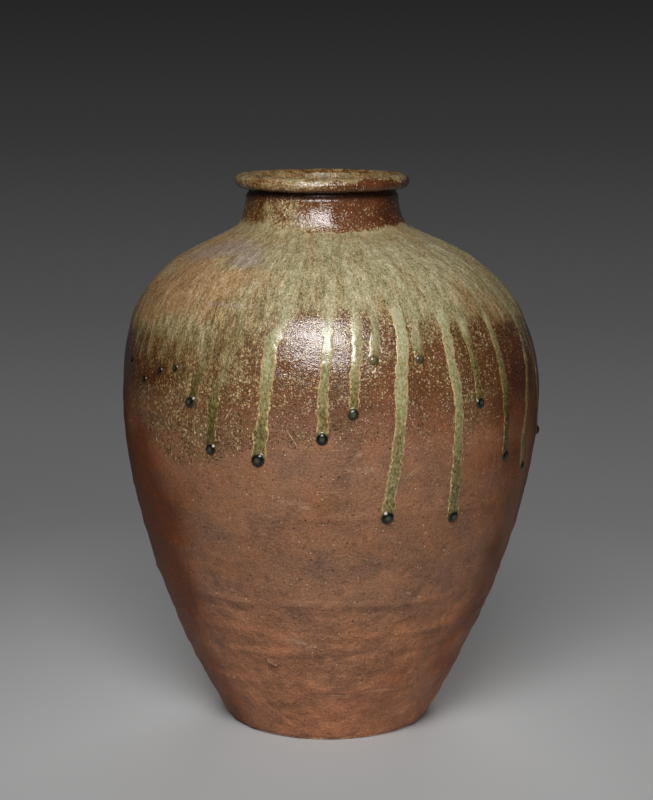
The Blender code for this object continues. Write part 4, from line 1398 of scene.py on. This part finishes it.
@dataclass
class Lip(Piece):
    """The rolled coil round the mouth and the ash that melted on it."""

    radius: float = 0.0720
    half_width: float = 0.0068
    half_height: float = 0.0057
    crown: float = 0.4590
    columns: int = 720
    roll_points: int = 56
    start_angle: float = -160.0
    inner_angle: float = 150.0
    throat_radius: float = 0.0592
    throat_drop: float = 0.0030
    throat_depth: float = 0.0130
    seat_radius: float = 0.0580
    seat_height: float = 0.4455
    glaze_angles: tuple = (8.0, 138.0)
    glaze_thickness: float = 0.00042
    glaze_depth: float = 0.00012  # how deep its face starts, so that its edges thin out to nothing
    glaze_back: float = 0.00050
    lumps: tuple = (  # relief, and the drift's across, up and seed
        (0.00034, 0.036, 0.030, 81),
        (0.00022, 0.014, 0.012, 82),
        (0.00008, 0.006, 0.006, 83),
    )

    @staticmethod
    def level(angle: Array) -> Array:
        """The rise that the random fields of the roll read at some angles."""
        return angle / 3600 + 0.2

    def roll(self, turn: Array, angle: Array, proud: Array = 0.0) -> Array:
        """Points on the lumpy roll.

        Args:
            turn: turns in degrees.
            angle: angles round the roll, in degrees above level on its outer side.
            proud: how far the points stand out from the clay.

        Returns:
            Points, one for each turn and angle.
        """
        turn, angle = np.broadcast_arrays(turn, angle)
        reach = drifts(turn, self.level(angle), *self.lumps) + proud
        sag = 0.00050 * drift(turn, angle * 0, 0.20, 0.1, 84)
        radians = np.radians(angle)
        radius = self.radius - self.half_width + (self.half_width + reach) * np.cos(radians)
        radius = radius + 0.0004 * drift(turn, angle * 0, 0.15, 0.1, 85)
        height = self.crown - self.half_height + (self.half_height + reach) * np.sin(radians) + sag
        return self.wall.spin(turn, radius, height)

    def masks(self, turn: Array, angle: Array) -> dict[Mask, Array]:
        """The firing's values on the roll: ash on top and on the left, bare gloss below."""
        turn, angle = np.broadcast_arrays(turn, angle)
        left = smooth((facing(turn, -62) + 0.10) / 0.75)
        above = smooth((angle - 14 + 26 * drift(turn, angle * 0, 0.030, 0.1, 86)) / 40)
        cover = np.clip(0.08 + 0.60 * above + 0.56 * left * smooth((angle + 62) / 40), 0, 0.76)
        uneven = 0.14 * drift(turn, self.level(angle), 0.012, 0.010, 87)
        flash = 0.35 + 0.4 * drift(turn, angle * 0, 0.05, 0.1, 89) + 0.6 * smooth((angle - 84) / 30)
        return {
            Mask.ASH: np.clip(cover + uneven, 0, 1),
            Mask.FLOW: 0.5 * drift(turn, self.level(angle), 0.010, 0.020, 88) - 0.40,
            Mask.SCORCH: 0.35 * left * (1 - above),
            Mask.PATCH: 0.0,
            Mask.FLASH_AND_SHADE: flash,
            Mask.FILM: 1.0 - 0.6 * smooth((angle - 70) / 40),
            Mask.SCUFF: 0.0,
        }

    def build(self) -> None:
        """Builds the roll and the ash glaze on it."""
        turn = np.arange(self.columns) * 360 / self.columns
        angles = np.linspace(self.start_angle, self.inner_angle, self.roll_points)[:, None]
        neck_bore = self.wall.neck_radius - self.wall.thickness
        share = np.linspace(0.12, 1.0, 9)[:, None]
        radius = self.throat_radius - (self.throat_radius - neck_bore) * smooth(share)
        height = self.crown - self.throat_drop - self.throat_depth * share
        throat = self.wall.spin(turn, radius, height)
        seat = self.wall.spin(turn, self.seat_radius, self.seat_height)
        points = np.concatenate([self.roll(turn, angles), throat, seat[None]])
        all_angles = np.append(angles, np.full(len(throat) + 1, self.inner_angle))[:, None]
        masks = self.masks(turn, all_angles) | {Mask.DOWN: points}
        masks[Mask.ASH] = np.where(all_angles >= self.inner_angle - 1, 0.75, masks[Mask.ASH])
        self.put(Sheet(points, masks, lanes=4), "rolled_lip", "lip", Slot.SHOULDER_CLAY)
        self.glaze(turn)

    def glaze(self, turn: Array) -> None:
        """Builds the thin glaze on top of the roll."""
        angles = np.linspace(*self.glaze_angles, 40)[:, None]
        inner_angles = angles[::-1][::3]
        edge = 0.5 * drift(turn, turn * 0, 0.022, 0.1, 90)
        fade = smooth((angles - 10) / 26 + edge) * smooth((136 - angles) / 20)
        outer = self.roll(turn, angles, self.glaze_thickness * fade - self.glaze_depth)
        points = np.concatenate([outer, self.roll(turn, inner_angles, -self.glaze_back)])
        masks = self.masks(turn, np.concatenate([angles, inner_angles])) | {Mask.DOWN: points}
        self.put(Sheet(points, masks, lanes=4), "lip_glaze", "lip_ash_glaze", Slot.ASH_GLAZE)


@dataclass
class Coat(Piece):
    """The coat of ash glaze on the shoulder and the patch that climbs the neck."""

    columns: int = 1080
    neck_columns: int = 300
    rows: int = 130
    thickness: float = 0.00050
    streak_relief: float = 0.00008
    depth: float = 0.00010  # how deep its face starts, so that its edges thin out to nothing
    back: float = 0.00060
    edge_inset: float = 0.0040
    neck_turns: tuple = (-150.0, -22.5)
    neck_heights: tuple = (0.4182, 0.4425)

    def skin(
        self, name: str, node: str, turn: Array, low: Array, high: Array, closed: bool
    ) -> None:
        """Builds a skin that thins out to nothing at its edges.

        Args:
            name: the piece's name.
            node: the CAD node that it stands for.
            turn: turns of its columns.
            low: climb of its lower edge at each column.
            high: climb of its upper edge.
            closed: whether it goes right round the jar.
        """
        share = np.linspace(0, 1, self.rows)[:, None]
        climb = low * (1 - share) + high * share
        spot = np.broadcast_to(turn, climb.shape)
        fade = smooth((climb - low) / 0.016) * smooth((high - climb) / 0.010)
        if not closed:
            fade = fade * smooth(np.minimum(turn - turn[0], turn[-1] - turn) / 12.0)
        thickness = self.thickness + self.streak_relief * self.firing.flow(spot, climb)
        back = slice(None, None, -8)
        outer = self.wall.place(spot, climb, thickness * fade - self.depth)
        inner = self.wall.place(spot[back], climb[back], -self.back)
        points = np.concatenate([outer, inner])
        masks = self.firing.masks(turn, np.concatenate([climb, climb[back]]))
        sheet = Sheet(points, masks, closed_columns=closed, lanes=8 if closed else 2)
        self.put(sheet, name, node, Slot.ASH_GLAZE)

    def build(self) -> None:
        """Builds both skins."""
        turn = np.arange(self.columns) * 360 / self.columns
        low = self.firing.coat_edge(turn) + self.edge_inset
        high = self.wall.climb_at(self.firing.coat_top)
        self.skin("shoulder_glaze", "shoulder_ash_glaze", turn, low, high, closed=True)
        turn = np.linspace(*self.neck_turns, self.neck_columns)
        low, high = self.wall.climb_at(self.neck_heights)
        self.skin("neck_glaze", "neck_ash_glaze", turn, np.full_like(turn, low), high, closed=False)


@dataclass
class GlazeRun(Piece):
    """One run of glaze: a raised ribbon of glass that ends in a bead."""

    route: Route
    number: int
    crown: float = 0.00045
    edge: float = 0.00002
    head: float = 0.0060  # how far above its first stop the run starts
    bead_share: float = 0.43  # bead's radius over the run's width
    bead_rise: float = 0.29  # bead's height over the run's width
    bead_margin: float = 0.0006
    ragged: float = 0.19  # how much its width varies
    narrow: float = 0.55  # its width at the head over its full width
    sway: float = 0.0005
    tuck: float = 0.00015  # how deep its long edges lie
    sink: float = 0.00030  # how deep its head lies
    back: float = 0.00070
    across: int = 23
    step: float = 0.0009

    def build(self) -> None:
        """Builds the run, with columns down the wall and rows across its face and its back."""
        route, wall = self.route, self.wall
        start, bead_climb = wall.climb_at((route.stops[0][1] + self.head, route.bead_height))
        bead = route.width * self.bead_share + self.bead_margin
        body = np.linspace(start, bead_climb, max(6, round((start - bead_climb) / self.step)))[:-1]
        climb = np.concatenate([body, bead_climb - bead * np.sin(np.linspace(0, math.pi / 2, 12))])
        half, lean = self.outline(climb, start, bead_climb, bead)
        middle, radius = route.turn_at(wall.height_at(climb)), wall.radius_along(climb)
        share = np.linspace(-1, 1, self.across)[:, None]
        back_share = np.linspace(0.92, -0.92, 4)[:, None]
        away_by = ((part * half + lean) / radius for part in (share, back_share))
        turn, back_turn = (middle + np.degrees(angle) for angle in away_by)
        emerge = smooth((start - climb) / 0.034)
        dome = self.edge + (self.crown - self.edge) * (1 - share**2)
        away = np.hypot(share * half, climb - bead_climb) / bead
        drop = self.bead_rise * route.width * np.sqrt(np.clip(1 - away**2, 0, 1)) ** 0.9
        proud = np.where(np.abs(share) > 0.999, -self.tuck, np.hypot(dome * emerge, drop))
        face = wall.place(turn, climb, proud - self.sink * (1 - emerge))
        points = np.concatenate([face, wall.place(back_turn, climb, -self.back)])
        turns = np.concatenate([turn, back_turn])
        climbs = np.broadcast_to(climb, turns.shape)
        rim = np.concatenate([np.abs(share) + 0 * turn, np.ones_like(back_turn)])
        rim = rim * (1 + 0.45 * route.tone)  # the brown drips have no pale border
        near = np.concatenate([away, np.full_like(back_turn, 2.0)])
        masks = self.firing.masks(turns, climbs)
        upward = np.clip((climbs - bead_climb) / bead, 0, 1)
        pool = smooth((1.16 + 0.35 * upward - near) / (0.26 + 0.60 * upward))
        fall = smooth((climbs - bead_climb) / max(start - bead_climb, 0.03))
        patchy = 0.30 * drift(turns, climbs, 0.006, 0.008, 95)
        masks |= {
            Mask.FLOW: np.clip(0.36 + 0.60 * fall + 0.16 * masks[Mask.FLOW] + route.tone, 0, 1),
            Mask.RIM: np.where(pool > 0.5, np.clip(near, 0, 1), rim),
            Mask.POOL: pool * route.depth,
            Mask.RISE: np.maximum(smooth((start - climbs) / 0.040 - 0.20 + patchy), pool),
        }
        lanes = max(1, round((start - bead_climb + bead) / 0.030))
        sheet = Sheet(points, masks, closed_columns=False, lanes=lanes)
        name = f"run_{self.number:02d}"
        self.put(sheet, name, "glaze_" + name, Slot.RUN_GLAZE)

    def outline(
        self, climb: Array, start: float, bead_climb: float, bead: float
    ) -> tuple[Array, Array]:
        """The run's ragged outline.

        Args:
            climb: climbs of its columns.
            start: climb of its head.
            bead_climb: climb of the bead's middle.
            bead: the bead's radius.

        Returns:
            Half of its width, and how far it leans sideways, both in metres.
        """
        seed = 190 + 10 * self.number
        place = np.full_like(climb, seed * 360.0)
        wave = drifts(place, climb, (1.0, 0.05, 0.011, seed), (0.9, 0.05, 0.0034, seed + 1))
        widening = self.narrow + (1 - self.narrow) * smooth((start - climb) / 0.018)
        half = self.route.width / 2 * (1 + self.ragged * wave) * widening
        round_end = np.sqrt(np.clip(bead**2 - (climb - bead_climb) ** 2, (0.04 * bead) ** 2, None))
        widest = np.maximum(half, np.where(climb < bead_climb + bead, round_end, 0))
        lean = self.sway * drift(place, climb, 0.05, 0.013, seed + 2)
        return np.where(climb < bead_climb, round_end, widest), lean


@dataclass
class StuckLump(Piece):
    """The lump of clay that stuck low on the wall."""

    turn: float = -20.8
    height: float = 0.0768
    length: float = 0.0120
    width: float = 0.0058
    thickness: float = 0.0030
    sunk: float = 0.0004
    tilt: float = 40.0
    columns: int = 64
    rows: int = 24

    def build(self) -> None:
        """Builds the lump as a knobbly dome on the wall."""
        angle = np.linspace(0, 360, self.columns, endpoint=False)[None]
        share = np.linspace(1.0, 0.02, self.rows)[:, None]
        knobs = 1 + drifts(angle, share * 0.1, (0.22, 0.16, 0.05, 91), (0.12, 0.07, 0.02, 92))
        long = self.length / 2 * share * knobs * np.cos(np.radians(angle))
        wide = self.width / 2 * share * knobs * np.sin(np.radians(angle))
        tilt = math.radians(self.tilt)
        east = long * math.cos(tilt) + wide * math.sin(tilt)
        north = wide * math.cos(tilt) - long * math.sin(tilt)
        climb = self.wall.climb_at(self.height)
        bump = 0.7 + 0.5 * drift(angle, share * 0.1, 0.20, 0.03, 93)
        proud = self.thickness * np.sqrt(1 - share**2) * bump - self.sunk
        turn = self.turn + np.degrees(east / self.wall.radius_along(climb))
        sheet = Sheet(self.wall.place(turn, climb + north, proud), {}, closed_rows=False)
        self.put(sheet, "stuck_lump", "clay_lump", Slot.KILN_CLAY)


# ------------------------------------------------------------------ studio


@dataclass(frozen=True)
class PaperSweep:
    """Matt studio paper, pale under the jar, with painted shade darker behind it where the light
    falls off.
    """

    stops: tuple = (
        (0.0, "#bababa"), (0.15, "#a8a8a8"), (0.30, "#979797"), (0.50, "#7e7e7e"), (1.0, "#545454"),
    )
    roughness: float = 0.9
    specular: float = 0.1
    reach: float = 1.5

    def material(self) -> bpy.types.Material:
        """Builds the floor's material, which fades out into the backdrop at its edge."""
        material = bpy.data.materials.new("studio_paper")
        material.use_nodes = True
        tree = material.node_tree
        shader = tree.nodes["Principled BSDF"]
        place = add_node(tree, "TexCoord").outputs["Object"]
        away = add_node(tree, "VectorMath.LENGTH", place)
        share = add_node(tree, "MapRange", away, 0.0, self.reach)
        feed(shader.inputs["Base Color"], add_node(tree, "ValToRGB", share, stops=self.stops))
        feed(shader.inputs["Roughness"], self.roughness)
        feed(shader.inputs["Specular IOR Level"], self.specular)
        fade = add_node(tree, "MapRange", share, 0.25, 1.0, interpolation_type="SMOOTHSTEP")
        mixed = add_node(tree, "MixShader", fade, shader, add_node(tree, "BsdfTransparent"))
        feed(tree.nodes["Material Output"].inputs["Surface"], mixed)
        return material


@dataclass(frozen=True)
class Softbox:
    """A softbox that faces the jar."""

    name: str
    place: tuple
    size: tuple
    power: float  # in watts
    mirrored: bool = False  # whether glossy surfaces show it

    def hang(self, aim: tuple) -> None:
        """Hangs the softbox, turned towards the aim."""
        light = bpy.data.lights.new(self.name, "AREA")
        light.shape = "RECTANGLE"
        light.size, light.size_y = self.size
        light.energy = self.power
        lamp = bpy.data.objects.new(self.name, light)
        lamp.location = self.place
        lamp.rotation_euler = (Vector(aim) - Vector(self.place)).to_track_quat("-Z", "Y").to_euler()
        if not self.mirrored:
            lamp.visible_glossy = lamp.visible_camera = False
        bpy.context.scene.collection.objects.link(lamp)


@dataclass
class Studio:
    """The floor, the backdrop, the softboxes and the camera."""

    paper: PaperSweep = PaperSweep()
    softboxes: tuple = (
        Softbox("key_softbox", (-0.13, -1.28, 1.22), (0.84, 0.78), 28.0, mirrored=True),
        Softbox("front_softbox", (0.70, -2.20, 0.95), (1.30, 0.80), 9.5),
        Softbox("rear_softbox", (0.80, 1.8, 0.28), (1.4, 0.34), 1.2),
        Softbox("back_softbox", (0.30, 2.10, 1.15), (1.4, 0.8), 24.0),
    )
    aim: tuple = (0.0, 0.0, 0.27)
    ambient: float = 0.03
    greys: tuple = (  # the backdrop, from the floor's edge upwards
        (0.0, "#9e9e9e"), (0.13, "#8a8a8a"), (0.345, "#686868"), (0.563, "#4f4f4f"),
        (0.783, "#363636"), (0.945, "#262626"),
    )
    camera_place: tuple = (-0.0011, -1.6741, 0.56487)
    camera_tilt: float = 10.006  # degrees below level
    focal_length: float = 90.96
    sensor_width: float = 36.0

    def build(self) -> None:
        """Sets up the whole studio."""
        self.floor()
        self.backdrop()
        for softbox in self.softboxes:
            softbox.hang(self.aim)
        self.camera()
        bpy.context.scene.view_settings.view_transform = "Standard"

    def floor(self) -> None:
        """Lays the round floor."""
        mesh = bpy.data.meshes.new("studio_floor")
        angles = np.linspace(0, math.tau, 96, endpoint=False)
        rim = self.paper.reach * np.stack([np.cos(angles), np.sin(angles), 0 * angles], axis=-1)
        points = [tuple(point) for point in rim.tolist()]
        mesh.from_pydata(points, [], [range(len(points))])
        mesh.materials.append(self.paper.material())
        floor = bpy.data.objects.new("studio_floor", mesh)
        bpy.context.scene.collection.objects.link(floor)

    def backdrop(self) -> None:
        """Lights the room evenly, and shows the camera a backdrop that darkens upwards."""
        world = bpy.data.worlds.new("studio")
        bpy.context.scene.world = world
        world.use_nodes = True
        tree = world.node_tree
        even = tree.nodes["Background"]
        feed(even.inputs["Color"], linear("#ffffff"))
        feed(even.inputs["Strength"], self.ambient)
        facing_up = add_node(tree, "SeparateXYZ", add_node(tree, "TexCoord").outputs["Generated"])
        level = add_node(tree, "MapRange", facing_up.outputs["Z"], -0.36, 0.04)
        grey = add_node(tree, "ValToRGB", level, stops=self.greys)
        seen = add_node(tree, "Background", grey, 1.0)
        ray = add_node(tree, "LightPath").outputs["Is Camera Ray"]
        mixed = add_node(tree, "MixShader", ray, even, seen)
        feed(tree.nodes["World Output"].inputs["Surface"], mixed)

    def camera(self) -> None:
        """Sets up the camera at the photograph's viewing angle."""
        data = bpy.data.cameras.new("front_camera")
        data.lens = self.focal_length
        data.sensor_width = self.sensor_width
        camera = bpy.data.objects.new("front_camera", data)
        camera.location = self.camera_place
        camera.rotation_euler = (math.radians(90 - self.camera_tilt), 0.0, 0.0)
        bpy.context.scene.collection.objects.link(camera)
        bpy.context.scene.camera = camera


def main() -> None:
    """Builds the studio and dresses the jar."""
    logging.basicConfig(level=logging.INFO, format="%(name)s: %(message)s")
    Studio().build()
    wall = Wall()
    made_with = (wall, Firing(wall), Finishes(wall))
    for sub_assembly in (ClayWork, Lip, Coat):
        sub_assembly(*made_with).build()
    for number, route in enumerate(ROUTES, start=1):
        GlazeRun(*made_with, route, number).build()
    StuckLump(*made_with).build()


if __name__ == "__main__":
    main()
